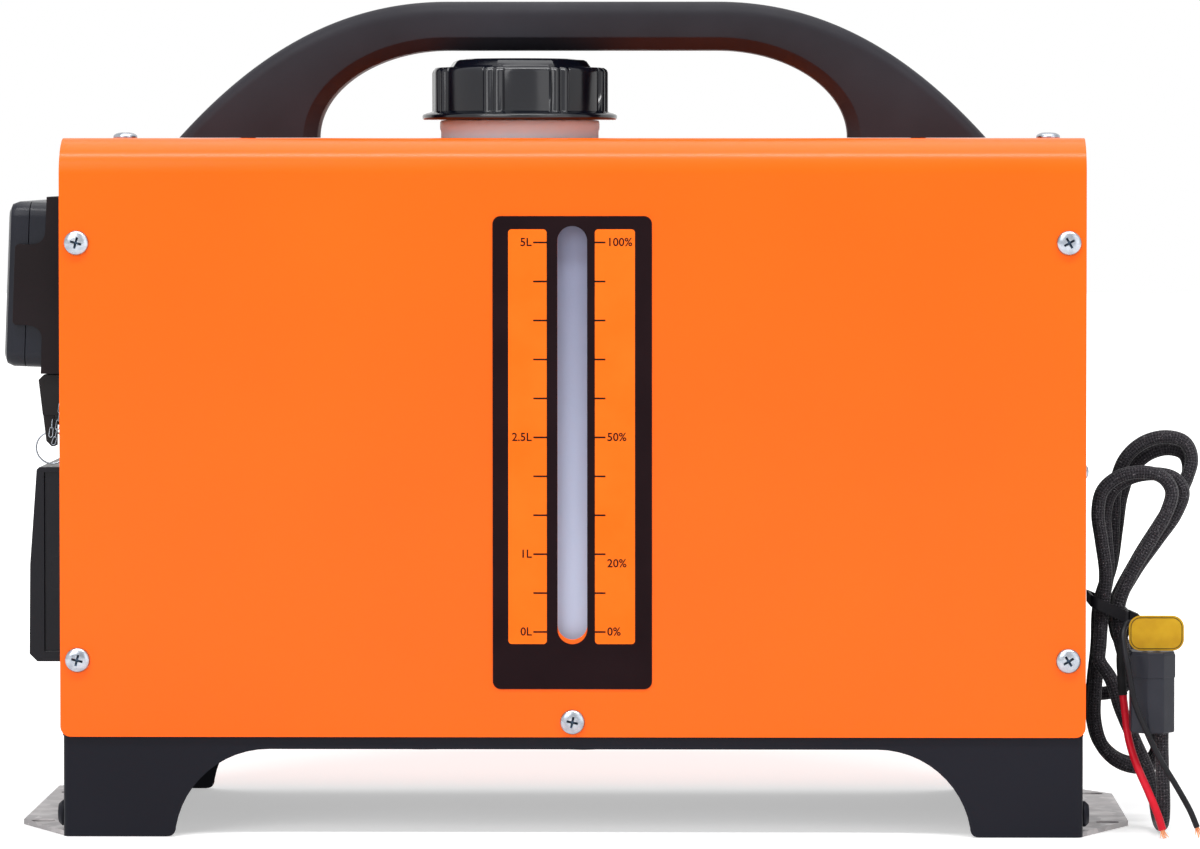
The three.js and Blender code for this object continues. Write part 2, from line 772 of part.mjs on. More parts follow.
// The cap's fluted outline: wide shallow flats between pairs of round ribs.
function capOutline() {
  const shape = new THREE.Shape();
  const steps = capFluteCount * 8;
  for (let i = 0; i < steps; i += 1) {
    const angle = (2 * Math.PI * i) / steps;
    const wave = Math.max(0, Math.cos(capFluteCount * angle));
    const radius = capBody / 2 - capFlute * Math.sqrt(wave);
    const around = angle + THREE.MathUtils.degToRad(capPhase);
    const point = [radius * Math.cos(around), radius * Math.sin(around)];
    if (i) {
      shape.lineTo(...point);
    } else {
      shape.moveTo(...point);
    }
  }
  return shape;
}
const capBodyTop = capHeight;
const capSolid = join(
  rod('z', capFlange / 2, 0, capFlangeThick, 0, 0, 32),
  prism('z', capOutline(), capFlangeThick / 2, capBodyTop),
  rod('z', capCrown / 2, capBodyTop - 1, capBodyTop + capCrownHeight, 0, 0, 16),
);
const capBore = rod('z', neckOuter / 2 + capRunning, -1, capCeiling - capBottom, 0, 0, 24);
piece('tank_cap', cut(capSolid, capBore), 'gloss', capGroup).position.z = capBottom;

// ---------------------------------------------------------------- fuel tap, lines and dosing pump
function alongRoute(points, radius, sides, steps) {
  const section2d = new THREE.Shape();
  for (let i = 0; i < sides; i += 1) {
    const angle = (2 * Math.PI * i) / sides;
    const point = [radius * Math.cos(angle), radius * Math.sin(angle)];
    if (i) {
      section2d.lineTo(...point);
    } else {
      section2d.moveTo(...point);
    }
  }
  const route = new THREE.CatmullRomCurve3(points.map((p) => new THREE.Vector3(...p)), false, 'centripetal');
  return new THREE.ExtrudeGeometry(section2d, { extrudePath: route, steps, bevelEnabled: false });
}
const tapLength = 12;
const tap = cut(
  join(rod('z', nippleRadius + 3, -3, 0, 0, 0, 12), rod('z', nippleRadius, -tapLength, -1, 0, 0, 12)),
  rod('z', nippleBore, -tapLength - 1, 1, 0, 0, 8),
);
piece('fuel_tap', tap, 'moulded').position.set(fuelTapX, fuelTapY, tankBottom - fit);

const pumpTop = pumpBottom + pumpLength;
const hoseTop = tankBottom - fit - tapLength - fit;
const hoseBottom = pumpTop + nippleLength + fit;
const hoseDrop = hoseTop - hoseBottom;
const hosePoints = [
  [fuelTapX, fuelTapY, hoseTop],
  [fuelTapX, fuelTapY, hoseTop - hoseDrop * 0.25],
  [(fuelTapX + pumpX) / 2, fuelTapY, (hoseTop + hoseBottom) / 2],
  [pumpX, fuelTapY, hoseBottom + hoseDrop * 0.25],
  [pumpX, fuelTapY, hoseBottom],
];
piece('fuel_hose', alongRoute(hosePoints, hoseRadius, 8, 12), 'rubber');

const pumpGroup = section(pumpX, fuelTapY, pumpBottom);
const plungerRoom = plungerLength + plungerTravel + fit;
const plungerFloor = (pumpLength - plungerRoom) / 2;
const pumpSolid = join(
  rod('z', pumpRadius, 0, pumpLength, 0, 0, 18),
  rod('z', nippleRadius, -nippleLength, pumpLength + nippleLength, 0, 0, 12),
);
const pumpBore = join(
  rod('z', nippleBore, -nippleLength - 1, pumpLength + nippleLength + 1, 0, 0, 8),
  rod('z', plungerRadius + fit, plungerFloor, plungerFloor + plungerRoom, 0, 0, 14),
);
piece('pump_body', cut(pumpSolid, pumpBore), 'steel', pumpGroup);
piece('pump_plunger', rod('z', plungerRadius, 0, plungerLength, 0, 0, 12), 'zinc', pumpGroup).position.z =
  plungerFloor + fit / 2;
const mountHeight = pumpBottom - floorTop + pumpLength / 2;
const mountWidth = pumpRadius + 5;
const pumpMount = cut(
  join(
    block(-mountWidth, mountWidth, -mountWidth, mountWidth, 0, 3),
    block(-mountWidth, -pumpRadius + 6, -4, 4, 1, mountHeight),
    rod('z', pumpRadius + 3, mountHeight - 12, mountHeight, 0, 0, 18),
  ),
  rod('z', pumpRadius + fit, pumpBottom - floorTop - 2 * fit, mountHeight + 1, 0, 0, 18),
  rod('z', nippleRadius + 5, 4, mountHeight, 0, 0, 12),
);
piece('pump_mount', pumpMount, 'rubber').position.set(pumpX, fuelTapY, floorTop + fit);

// ---------------------------------------------------------------- heater unit
const heaterGroup = section(0, 0, heaterAxisZ);
const heaterOuter = roundedRect(2 * heaterHalfDepth, 2 * heaterHalfHeight, heaterCorner);
const heaterInner = roundedRect(
  2 * (heaterHalfDepth - heaterWall),
  2 * (heaterHalfHeight - heaterWall),
  heaterCorner - heaterWall,
);
const inletHole = rod('x', airWheelRadius - 3, heaterRight - 5, heaterRight + 5, 0, 0, 28);
const ductWindow = roundedRect(2 * duct.halfWidth - 2, 2 * duct.halfHeight, 3, 0, outletZ - heaterAxisZ);
const stubHoles = [exhaustX, intakeX].map((x) =>
  rod('z', stubRadius + fit, -heaterHalfHeight - 5, -heaterHalfHeight + 5, x, 0, 18),
);
const heaterCase = cut(
  prism('x', heaterOuter, heaterLeft, heaterRight, 4),
  prism('x', heaterInner, heaterLeft + heaterWall, heaterRight - heaterWall, 4),
  prism('x', ductWindow, heaterLeft - 1, heaterLeft + 5),
  inletHole,
  ...stubHoles,
);
const [farX, farY, farZ] = [2 * caseWidth, 2 * caseDepth, 2 * caseHeight];
piece('heater_lower_case', cut(heaterCase, block(-farX, farX, -farY, farY, -fit / 2, farZ)), 'moulded', heaterGroup);
piece('heater_upper_case', cut(heaterCase, block(-farX, farX, -farY, farY, -farZ, fit / 2)), 'moulded', heaterGroup);

// The heat exchanger: a blind cast tube with long fins, its mouth towards the motor, carried by four lugs.
const fins = [];
for (let i = 0; i < finCount; i += 1) {
  const fin = block(coreLeft + 4, coreRight - 22, -finThick / 2, finThick / 2, coreRadius - 2, finRadius);
  fins.push(fin.rotateX((2 * Math.PI * (i + 0.5)) / finCount));
}
const lugReach = heaterHalfHeight - heaterWall - fit;
const coreLugs = [coreLeft + 14, coreRight - 10].map((x) =>
  block(x - 4, x + 4, -5, 5, coreRadius - 2, lugReach),
);
const lowerLugs = [coreLeft + 14, coreRight - 34].map((x) => block(x - 4, x + 4, -5, 5, -lugReach, -coreRadius + 2));
const plugX = coreRight - plugInset - 12;
const core = cut(
  join(rod('x', coreRadius, coreLeft, coreRight, 0, 0, 22), ...fins, ...coreLugs, ...lowerLugs),
  rod('x', coreRadius - coreWall, coreLeft + coreWall, coreRight + 1, 0, 0, 22),
  rod('z', stubRadius - stubWall, -lugReach - 1, -coreRadius + coreWall + 4, exhaustX, 0, 14),
  rod('z', plugRadius + fit, 0, lugReach, plugX, 0, 12),
);
piece('heat_exchanger', core, 'castAluminium', heaterGroup);

// The burner: a perforated flame tube with a flange that closes the exchanger's mouth.
const burnerHoles = [];
for (let i = 0; i < portCount; i += 1) {
  const port = rod('z', portRadius, burnerRadius - 4, burnerRadius + 2, coreRight - portInset, 0, 6);
  burnerHoles.push(port.rotateX((2 * Math.PI * (i + 0.5)) / portCount));
}
const burner = cut(
  join(
    rod('x', burnerRadius, coreRight - burnerLength, coreRight, 0, 0, 18),
    rod('x', coreRadius, coreRight + fit, coreRight + fit + 3, 0, 0, 18),
    rod('x', burnerRadius, coreRight - 1, coreRight + 1, 0, 0, 18),
  ),
  rod('x', burnerRadius - burnerWall, coreRight - burnerLength - 1, coreRight + 1, 0, 0, 18),
  rod('x', burnerRadius - 6, coreRight, coreRight + 5, 0, 0, 16),
  rod('z', plugRadius + fit, 0, burnerRadius + 2, plugX, 0, 12),
  ...burnerHoles,
);
piece('burner_tube', burner, 'steel', heaterGroup);
const plug = join(
  rod('z', plugRadius, -plugLength / 2, plugLength / 2, 0, 0, 12),
  rod('z', plugRadius + 2, plugLength / 2 - 6, plugLength / 2, 0, 0, 6),
);
piece('glow_plug', plug, 'zinc', heaterGroup).position.set(plugX, 0, coreRadius + 6 + fit);

// The blower: a motor can on two feet, with a shaft through it that carries a wheel at each end.
const motorFoot = heaterHalfDepth - heaterWall - fit;
const motor = cut(
  join(
    rod('x', motorRadius, motorLeft, motorRight, 0, 0, 22),
    block(motorLeft + 8, motorLeft + 14, -motorFoot, motorFoot, -3, 3),
    block(motorLeft + 30, motorLeft + 36, -motorFoot, motorFoot, -3, 3),
  ),
  rod('x', shaftRadius + shaftRunning, motorLeft - 1, motorRight + 1, 0, 0, 14),
);
piece('blower_motor', motor, 'steel', heaterGroup);

// A bladed wheel on a hub: each blade is a pitched plate from the hub out.
function wheel(radius, width, left) {
  const hub = rod('x', wheelHub, left, left + width, 0, 0, 16);
  const blades = [];
  for (let i = 0; i < wheelBlades; i += 1) {
    const plate = block(-0.9, 0.9, -width * 0.45, width * 0.45, wheelHub - 2, radius).rotateZ(-Math.PI / 4);
    blades.push(plate.translate(left + width / 2, 0, 0).rotateX((2 * Math.PI * i) / wheelBlades));
  }
  return join(hub, ...blades);
}
const airWheelLeft = motorRight + 3;
const burnWheelLeft = motorLeft - 3 - burnWheelWidth;
const shaft = rod('x', shaftRadius, burnWheelLeft, airWheelLeft + 2, 0, 0, 12);
piece('hot_air_fan', join(wheel(airWheelRadius, airWheelWidth, airWheelLeft), shaft), 'moulded', heaterGroup);
const burnWheel = cut(
  wheel(burnWheelRadius, burnWheelWidth, burnWheelLeft),
  rod('x', shaftRadius + 0.1, burnWheelLeft - 1, burnWheelLeft + burnWheelWidth + 1, 0, 0, 12),
);
piece('combustion_fan', burnWheel, 'castAluminium', heaterGroup);

const boardZ = heaterHalfHeight - heaterWall - fit - boardLeg;
const boardLegs = [-1, 1].map((k) => {
  const x = (k * boardLength) / 3;
  return block(x - boardThick, x + boardThick, -2 * boardThick, 2 * boardThick, 0, boardLeg);
});
const board = join(
  block(-boardLength / 2, boardLength / 2, -boardWidth / 2, boardWidth / 2, -boardThick, 0),
  block(-chipHalf, chipHalf, -chipHalf, chipHalf, -boardThick - chipHeight, -boardThick / 2),
  ...boardLegs,
);
piece('control_board', board, 'board', heaterGroup).position.set(motorLeft + 20, 0, boardZ);

// The exhaust and the combustion-air stubs leave downwards through the tray.
[
  ['exhaust_stub', exhaustX, -coreRadius - fit, 'steel'],
  ['intake_stub', intakeX, -coreRadius - 8, 'moulded'],
].forEach(([name, x, top, look]) => {
  const bottom = stubBottom - heaterAxisZ;
  const flangeBottom = -heaterHalfHeight + heaterWall + fit;
  const stub = cut(
    join(
      rod('z', stubRadius, bottom, flangeBottom + 2, 0, 0, 16),
      rod('z', stubRadius + 3, flangeBottom, flangeBottom + 2, 0, 0, 16),
      rod('z', stubRadius - stubWall - fit - 1, flangeBottom, top - 1, 0, 0, 16),
    ),
    rod('z', stubRadius - stubWall - 4, bottom - 1, top + 2, 0, 0, 14),
    rod('z', stubRadius - stubWall, bottom - 1, flangeBottom - 1, 0, 0, 16),
  );
  piece(name, stub, look, heaterGroup).position.x = x;
});

// The metal fuel line from the pump to the burner, through the lower case's wall at the right.
const fuelLineTop = pumpBottom - nippleLength - fit;
const fuelLineY = heaterHalfDepth + 2 * fuelLineRadius;
const fuelLineZ = floorTop + fuelLineRise;
const fuelLinePoints = [
  [pumpX, fuelTapY, fuelLineTop],
  [pumpX, fuelTapY, fuelLineTop - 3 * fuelLineRadius],
  [pumpX - fuelLineRise * 1.5, (fuelTapY * 2 + fuelLineY) / 3, fuelLineZ + fuelLineRadius],
  [(pumpX + heaterRight) / 2, fuelLineY - 3 * fuelLineRadius, fuelLineZ],
  [heaterRight - fuelLineRise, fuelLineY, fuelLineZ],
  [(heaterRight + coreRight) / 2, fuelLineY, fuelLineZ],
  [coreRight + 3 * fuelLineRise, fuelLineY, fuelLineZ],
];
piece('fuel_line', alongRoute(fuelLinePoints, fuelLineRadius, 8, 22), 'steel');

// ---------------------------------------------------------------- hot-air outlet with its tilting vanes
const outletFace = -(wallX + fit);
const collarLength = heaterLeft - fit - outletFace;
const outletBottom = outletZ - outletHalfHeight;
const outletTop = outletZ + outletHalfHeight;
const outletProfile = polygon([
  [outletFace, outletBottom],
  [outletFace - outletReach + outletBevel, outletBottom],
  [outletFace - outletReach, outletBottom + outletBevel],
  [outletFace - outletReach + 0.3, outletZ],
  [outletFace - outletTopReach, outletTop - 1],
  [outletFace - outletTopReach + 1, outletTop],
  [outletFace, outletTop],
]);
const ductRect = roundedRect(2 * duct.halfWidth, 2 * duct.halfHeight, 2, 0, outletZ);
const collarRect = roundedRect(
  2 * (duct.halfWidth + collarWall),
  2 * (duct.halfHeight + collarWall),
  3,
  0,
  outletZ,
);
const sidePockets = [-1, 1].map((k) => {
  const y = [k * (outletHalfWidth - outletPocket), k * (outletHalfWidth + 1)];
  return block(
    outletFace - outletTopReach + outletBevel,
    outletFace - 1.5,
    Math.min(...y),
    Math.max(...y),
    outletBottom + outletBevel + 1,
    outletTop - 2,
  );
});
const vaneZ = [];
for (let i = 0; i < vaneCount; i += 1) {
  vaneZ.push(outletZ + (i - (vaneCount - 1) / 2) * vanePitch);
}
const vanePivot = outletFace - vanePivotX;
const pinHoles = vaneZ.map((z) =>
  rod('y', vanePin + fit, -duct.halfWidth - vanePinLength - fit, duct.halfWidth + vanePinLength + fit, vanePivot, z, 10),
);
const hood = cut(
  join(
    prism('y', outletProfile, -outletHalfWidth, outletHalfWidth),
    prism('x', collarRect, outletFace - 1, outletFace + collarLength),
  ),
  prism('x', ductRect, outletFace - outletReach - 1, outletFace + collarLength + 1),
  ...sidePockets,
  ...pinHoles,
);
piece('outlet_hood', hood, 'gloss');

const vaneHalf = duct.halfWidth - 2 * fit;
function vane() {
  const blade = roundedRect(vaneChord, vaneThick, vaneThick / 2);
  const notch = block(1, vaneChord, linkY - notchHalf, linkY + notchHalf, -vaneThick, vaneThick);
  const stripped = cut(prism('y', blade, -vaneHalf, vaneHalf, 2), notch);
  return join(
    stripped,
    rod('y', vanePin, -vaneHalf - vanePinLength, -vaneHalf + 1, 0, 0, 8),
    rod('y', vanePin, vaneHalf - 1, vaneHalf + vanePinLength, 0, 0, 8),
    rod('y', crankPin, linkY - notchHalf - 0.5, linkY + notchHalf + 0.5, crankReach, 0, 8),
  );
}
vaneZ.forEach((z, i) => {
  piece(`louvre_vane_${i + 1}`, vane(), 'moulded').position.set(vanePivot, 0, z);
});
const linkHalf = ((vaneCount - 1) / 2) * vanePitch + linkWidth / 2 + 0.6;
const link = cut(
  block(-linkWidth / 2, linkWidth / 2, -linkThick / 2, linkThick / 2, -linkHalf, linkHalf),
  ...vaneZ.map((z) => rod('y', crankPin + fit, -linkThick, linkThick, 0, z - outletZ, 10)),
);
piece('louvre_link', link, 'moulded').position.set(vanePivot + crankReach, linkY, outletZ);

// ---------------------------------------------------------------- controller in its wall holder
// The holder is a wedge on the panel; what it carries leans with its front face.
const tilt = THREE.MathUtils.degToRad(controllerTilt);
const holderBack = -(wallX + fit);
const holderTop = holderBottom + holderHeight;
const holderBottomReach = holderTopReach + holderHeight * Math.tan(tilt);
const holderWedge = polygon([
  [holderBack, holderBottom],
  [holderBack - holderBottomReach, holderBottom],
  [holderBack - holderTopReach, holderTop],
  [holderBack, holderTop],
]);
const earY = controllerHalf + fit;
const holderHalf = earY + earThick;
const leaning = section(holderBack - holderBottomReach, 0, holderBottom);
leaning.rotation.y = tilt;
leaning.updateMatrix();
// In the leaning frame -X points out of the holder's face and +Z runs up it.
const earMiddle = controllerLift + controllerHeight / 2;
function earOutline() {
  const [half, r, reach] = [earHeight / 2, earFillet, earReach];
  const shape = new THREE.Shape();
  shape.moveTo(1, earMiddle - half - r);
  shape.lineTo(0, earMiddle - half - r);
  shape.quadraticCurveTo(0, earMiddle - half, -r, earMiddle - half);
  shape.lineTo(-reach + 1, earMiddle - half);
  shape.lineTo(-reach, earMiddle - half + 1);
  shape.lineTo(-reach, earMiddle + half - 1);
  shape.lineTo(-reach + 1, earMiddle + half);
  shape.lineTo(-r, earMiddle + half);
  shape.quadraticCurveTo(0, earMiddle + half, 0, earMiddle + half + r);
  shape.lineTo(1, earMiddle + half + r);
  return shape;
}
const ears = [
  prism('y', earOutline(), earY, holderHalf),
  prism('y', earOutline(), -holderHalf, -earY),
].map((ear) => ear.applyMatrix4(leaning.matrix));
piece('controller_holder', join(prism('y', holderWedge, -holderHalf, holderHalf), ...ears), 'moulded');

const controllerMiddle = controllerLift + controllerHeight / 2;
const controllerFace = -fit - rearShellThick - fit - frontShellThick;
const controllerOutline = roundedRect(
  2 * controllerHalf,
  controllerHeight,
  controllerCorner,
  0,
  controllerMiddle,
);
const controllerHollow = roundedRect(
  2 * (controllerHalf - shellWall),
  controllerHeight - 2 * shellWall,
  controllerCorner - shellWall,
  0,
  controllerMiddle,
);
const controllerBlank = solid(
  softPrism('x', controllerOutline, controllerFace, -fit + controllerRound, controllerRound, 2, 4),
);
const partingX = -fit - rearShellThick;
const rearShell = cut(
  controllerBlank,
  block(-farX, partingX, -farY, farY, -farZ, farZ),
  block(-fit, farX, -farY, farY, -farZ, farZ),
  prism('x', controllerHollow, partingX - 1, -fit - shellWall, 2),
);
piece('controller_rear_shell', rearShell, 'gloss', leaning);

const lensMiddle = controllerLift + lensZ;
const buttonMiddle = controllerLift + buttonZ;
const buttonY = [];
for (let i = 0; i < buttonCount; i += 1) {
  buttonY.push((i - (buttonCount - 1) / 2) * buttonPitch);
}
const frontInner = controllerFace + shellWall + lensThick;
const lensRecess = roundedRect(2 * (lensHalfLength + fit), lensHeight + 2 * fit, 3, 0, lensMiddle);
const frontShell = cut(
  controllerBlank,
  block(partingX - fit, farX, -farY, farY, -farZ, farZ),
  prism('x', controllerHollow, frontInner, partingX + 1, 2),
  prism('x', lensRecess, controllerFace - 1, controllerFace + lensThick + fit, 3),
  ...buttonY.map((y) => rod('x', buttonRadius + fit, controllerFace - 1, frontInner + 1, y, buttonMiddle, 14)),
);
piece('controller_front_shell', frontShell, 'gloss', leaning);
const lensOutline = roundedRect(2 * lensHalfLength, lensHeight, 3, 0, lensMiddle);
piece('controller_lens', prism('x', lensOutline, 0, lensThick, 3), 'screen', leaning).position.x = controllerFace;
buttonY.forEach((y, i) => {
  const stem = frontInner - controllerFace + fit;
  const cap = join(
    rod('x', buttonRadius, -buttonProud, stem + buttonFlange, 0, 0, 16),
    rod('x', buttonRadius + 1.2, stem, stem + buttonFlange, 0, 0, 16),
  );
  piece(`controller_button_${i + 1}`, cap, 'moulded', leaning).position.set(controllerFace, y, buttonMiddle);
});

// ---------------------------------------------------------------- remote fob and its split ring
const fobBottom = fobTop - fobHeight;
const fobBack = -(wallX + fit);
const holeZ = fobBottom + fobHoleRise;
const lugBack = fobBack - fobBottomThick + lugThick;
const ringX = lugBack - lugThick / 2;
const fobSide = polygon([
  [fobBack, fobBottom + 1],
  [fobBack - 1, fobBottom],
  [fobBack - fobBottomThick + fobRound, fobBottom],
  [fobBack - fobBottomThick, fobBottom + fobRound],
  [fobBack - fobTopThick, fobTop - fobRound],
  [fobBack - fobTopThick + fobRound, fobTop],
  [fobBack, fobTop],
]);
const aboveLug = fobBottom + 2 * fobHoleRise;
const fobCutters = [
  block(-farX, fobBack + 1, ringY + lugHalf, farY, fobBottom - 1, aboveLug),
  block(-farX, fobBack + 1, fobFront - 1, ringY - lugHalf, fobBottom - 1, aboveLug),
  block(lugBack, fobBack + 1, fobFront - 1, farY, fobBottom - 1, aboveLug),
  rod('x', fobHole, -farX, fobBack + 1, ringY, holeZ, 12),
];
const fobBody = prism('y', fobSide, fobFront, fobFront + fobLength);
piece('remote_fob', cut(fobBody, ...fobCutters), 'gloss');
const ring = piece('split_ring', new THREE.TorusGeometry(ringRadius, ringWire, 6, 24), 'zinc');
ring.rotation.x = Math.PI / 2;
ring.position.set(ringX, ringY, holeZ - fobHole + ringWire + fit - ringRadius);

// ---------------------------------------------------------------- origin
// The origin lies on the floor, in the middle of the box round all of it but the cord and what hangs on it.
heater.updateMatrixWorld(true);
const middle = new THREE.Box3().setFromObject(heater, true).getCenter(new THREE.Vector3());
heater.position.set(-middle.x, -middle.y, 0);

// ---------------------------------------------------------------- cord gland
const glandOut = wallX + glandNose;
const gland = join(
  rod('x', glandRadius, wallX + fit, wallX + fit + glandPlate, glandY, glandZ, 16),
  rod('x', cordDiameter / 2 + 1.6, wallX + glandPlate, glandOut, glandY, glandZ, 14),
  rod('x', glandRadius - 1.5, wallX - 6, wallX + glandPlate, glandY, glandZ, 14),
);
piece('cord_gland', gland, 'rubber');

// ---------------------------------------------------------------- cord bundle
// The hank: turns that lie one behind the other, each an upper loop above the tie and a return below it.
// Every half turn is a bow, x = lean * s^p -+ cos(pi u) * (waist + bulge * s^2), z = +-height * s, s = sin(pi u).
const upperLoops = [
  { height: 61, bulge: 26, lean: 24 },
  { height: 66, bulge: 31, lean: 22.5 },
  { height: 52, bulge: 33, lean: 17 },
  { height: 53, bulge: 31.5, lean: 11.8 },
];
const lowerLoop = { height: 62, bulge: 26, lean: 11.5 };
const bowSteps = 12;
function bow(loop, up, from, to, y0, y1, list) {
  for (let i = up ? 0 : 1; i <= bowSteps - (up ? 0 : 1); i += 1) {
    const t = i / bowSteps;
    const u = from + (to - from) * t;
    const s = Math.sin(Math.PI * u);
    const x = waistX + loop.lean * (up ? s : s * s) - Math.cos(Math.PI * u) * (waistHalf + loop.bulge * s * s);
    const climb = THREE.MathUtils.smoothstep(t, 0.5, 1);
    list.push([x, y0 + (y1 - y0) * climb, waistZ + (up ? 1 : -1) * loop.height * s]);
  }
}
const cordStart = glandOut + fit;
const hankPoints = [
  [cordStart, glandY, glandZ],
  [cordStart + cordDiameter, glandY, glandZ],
  [212.3, -12.3, 50.1],
  [216.2, -13.5, 54],
  [217.7, -15, 59.4],
  [216.9, -16.4, 63.5],
  [214.5, -17.7, 67.1],
  [211.2, -19, 72.1],
  [210, backLayerY, 78],
];
upperLoops.forEach((loop, i) => {
  const y = backLayerY - i * layerPitch;
  bow(loop, true, 1, 0, y, y, hankPoints);
  if (i < upperLoops.length - 1) {
    bow(lowerLoop, false, 0, 1, y, y - layerPitch, hankPoints);
  }
});
const frontLayerY = backLayerY - (upperLoops.length - 1) * layerPitch;
const splitPoint = [waistX - waistHalf - 1.2, frontLayerY - 1.6, waistZ - 14];
const fuseTop = fuseBottom + fuseLength;
const cordIn = fuseX + 3.6;
const tailPoints = [
  [206.8, -42.9, 57.5],
  [210.6, -44.2, 46],
  [216, -44.5, 33.5],
  [220.2, -44.6, 24],
  [223.2, -44.8, 15],
  [224.4, -47.8, 6.2],
  [225, -55.4, 3],
  [225.2, -63, 6.2],
  [225.1, fuseY, 14.5],
  [cordIn + 0.3, fuseY, 24],
  [cordIn, fuseY, fuseBottom - fit - cordDiameter],
  [cordIn, fuseY, fuseBottom - fit],
];
hankPoints.push([waistX - waistHalf - 0.6, frontLayerY - 0.4, waistZ - 6], splitPoint);
const splitDirection = new THREE.Vector3(...splitPoint).sub(new THREE.Vector3(...hankPoints.at(-2))).normalize();
const tailStart = new THREE.Vector3(...splitPoint).addScaledVector(splitDirection, fit);
const tailSecond = new THREE.Vector3(...splitPoint).addScaledVector(splitDirection, cordDiameter);
const tailRoute = [tailStart.toArray(), tailSecond.toArray(), ...tailPoints];

// The least distance between two stretches of a route that aren't neighbours along it.
function leastGap(points, diameter) {
  const route = new THREE.CatmullRomCurve3(points.map((p) => new THREE.Vector3(...p)), false, 'centripetal');
  const spaced = route.getSpacedPoints(Math.round(route.getLength() / 1.5));
  const apart = Math.ceil((3 * diameter) / 1.5);
  let least = Infinity;
  for (let i = 0; i < spaced.length; i += 1) {
    for (let j = i + apart; j < spaced.length; j += 1) {
      least = Math.min(least, spaced[i].distanceTo(spaced[j]) - diameter);
    }
  }
  return { least, length: route.getLength() };
}
const hankGap = leastGap(hankPoints, cordDiameter);
const tailGap = leastGap(tailRoute, cordDiameter);
console.log(`cord_hank: least gap to itself ${hankGap.least.toFixed(2)} mm, length ${hankGap.length.toFixed(0)} mm`);
console.log(`cord_tail: length ${tailGap.length.toFixed(0)} mm`);
const hankSteps = loopSteps * (upperLoops.length + 0.5);
piece('cord_hank', alongRoute(hankPoints, cordDiameter / 2, cordSides, hankSteps), 'braid');
piece('cord_tail', alongRoute(tailRoute, cordDiameter / 2, 8, 24), 'braid');

// The tie: a slanting band round the bundle's waist, with its head at the outer end.
const tieInnerX = waistHalf + cordDiameter / 2 + fit + 0.6;
const tieInnerY = (upperLoops.length - 1) * layerPitch * 0.5 + cordDiameter / 2 + fit + 0.4;
const tieMiddleY = (backLayerY + frontLayerY) / 2;
const tieOuter = roundedRect(2 * (tieInnerX + tieThick), 2 * (tieInnerY + tieThick), 3);
tieOuter.holes.push(roundedRect(2 * tieInnerX, 2 * tieInnerY, 2));
const tieHeadBlock = block(
  tieInnerX + 0.6,
  tieInnerX + tieThick + 3,
  -tieInnerY - 1,
  -tieInnerY + tieHead,
  -tieHead / 2,
  tieHead / 2,
);
const tieShear = new THREE.Matrix4().set(1, 0, 0, 0, 0, 1, 0, 0, -tieSlope, 0, 1, 0, 0, 0, 0, 1);
const tieBody = join(prism('z', tieOuter, -tieWidth / 2, tieWidth / 2, 3), tieHeadBlock);
const tie = piece('cord_tie', asGeometry(tieBody).applyMatrix4(tieShear), 'moulded');
tie.position.set(waistX, tieMiddleY, waistZ);

// The in-line fuse holder, with the flag tag and the two bare-ended cores above it.
const fuseOutline = roundedRect(fuseWidth, fuseLength, fuseBevel, fuseX, fuseBottom + fuseLength / 2);
piece(
  'fuse_holder',
  softPrism('y', fuseOutline, fuseY - fuseDepth / 2, fuseY + fuseDepth / 2, fuseBevel * 0.8, 1, 2),
  'moulded',
);
const wireTop = fuseTop + fit;
const redX = fuseX + 1.6;
const blackX = fuseX - 3;
const tagBack = fuseY - redWire / 2 - fit;
const tagShape = roundedRect(tagLength, tagHeight, tagCorner, fuseX + 1.3, wireTop + tagHeight / 2);
piece('cord_tag', prism('y', tagShape, tagBack - tagThick, tagBack, 5), 'yellow');
const redPoints = [
  [redX, fuseY, wireTop],
  [redX, fuseY, wireTop + 3.2],
  [219.6, -63.2, 79.6],
  [214.8, -59, 81],
  [211.2, -56.6, 77],
  [209.6, -56, 68.5],
  [210, -56, 58],
  [211.2, -56.4, 46],
  [212.4, -59.5, 36],
  [215, -64.5, 27],
  [219, -69.5, 17.5],
  [222.6, -72, 8.5],
  [224.2, -72.6, 3.2],
];
piece('red_wire', alongRoute(redPoints, redWire / 2, 8, 22), 'red');
const blackPoints = [
  [blackX, fuseY, wireTop],
  [blackX, fuseY, wireTop + 3.2],
  [215.6, -65, 79],
  [211.6, -66, 81.5],
  [209.4, -69.4, 78.4],
  [209.8, -73, 71.5],
  [211.4, -75, 62],
  [213.2, -75.2, 52.5],
  [217.2, -75, 42.5],
  [222.4, -74.6, 31.5],
  [229.4, -74, 19.9],
  [234.6, -73.6, 10.6],
  [237.2, -73.4, 4.4],
];
piece('black_wire', alongRoute(blackPoints, blackWire / 2, 8, 22), 'gloss');

export default heater;
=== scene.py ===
"""A portable diesel air heater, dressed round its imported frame: coated sheet, moulded plastic, zinc and woven cord."""

import math

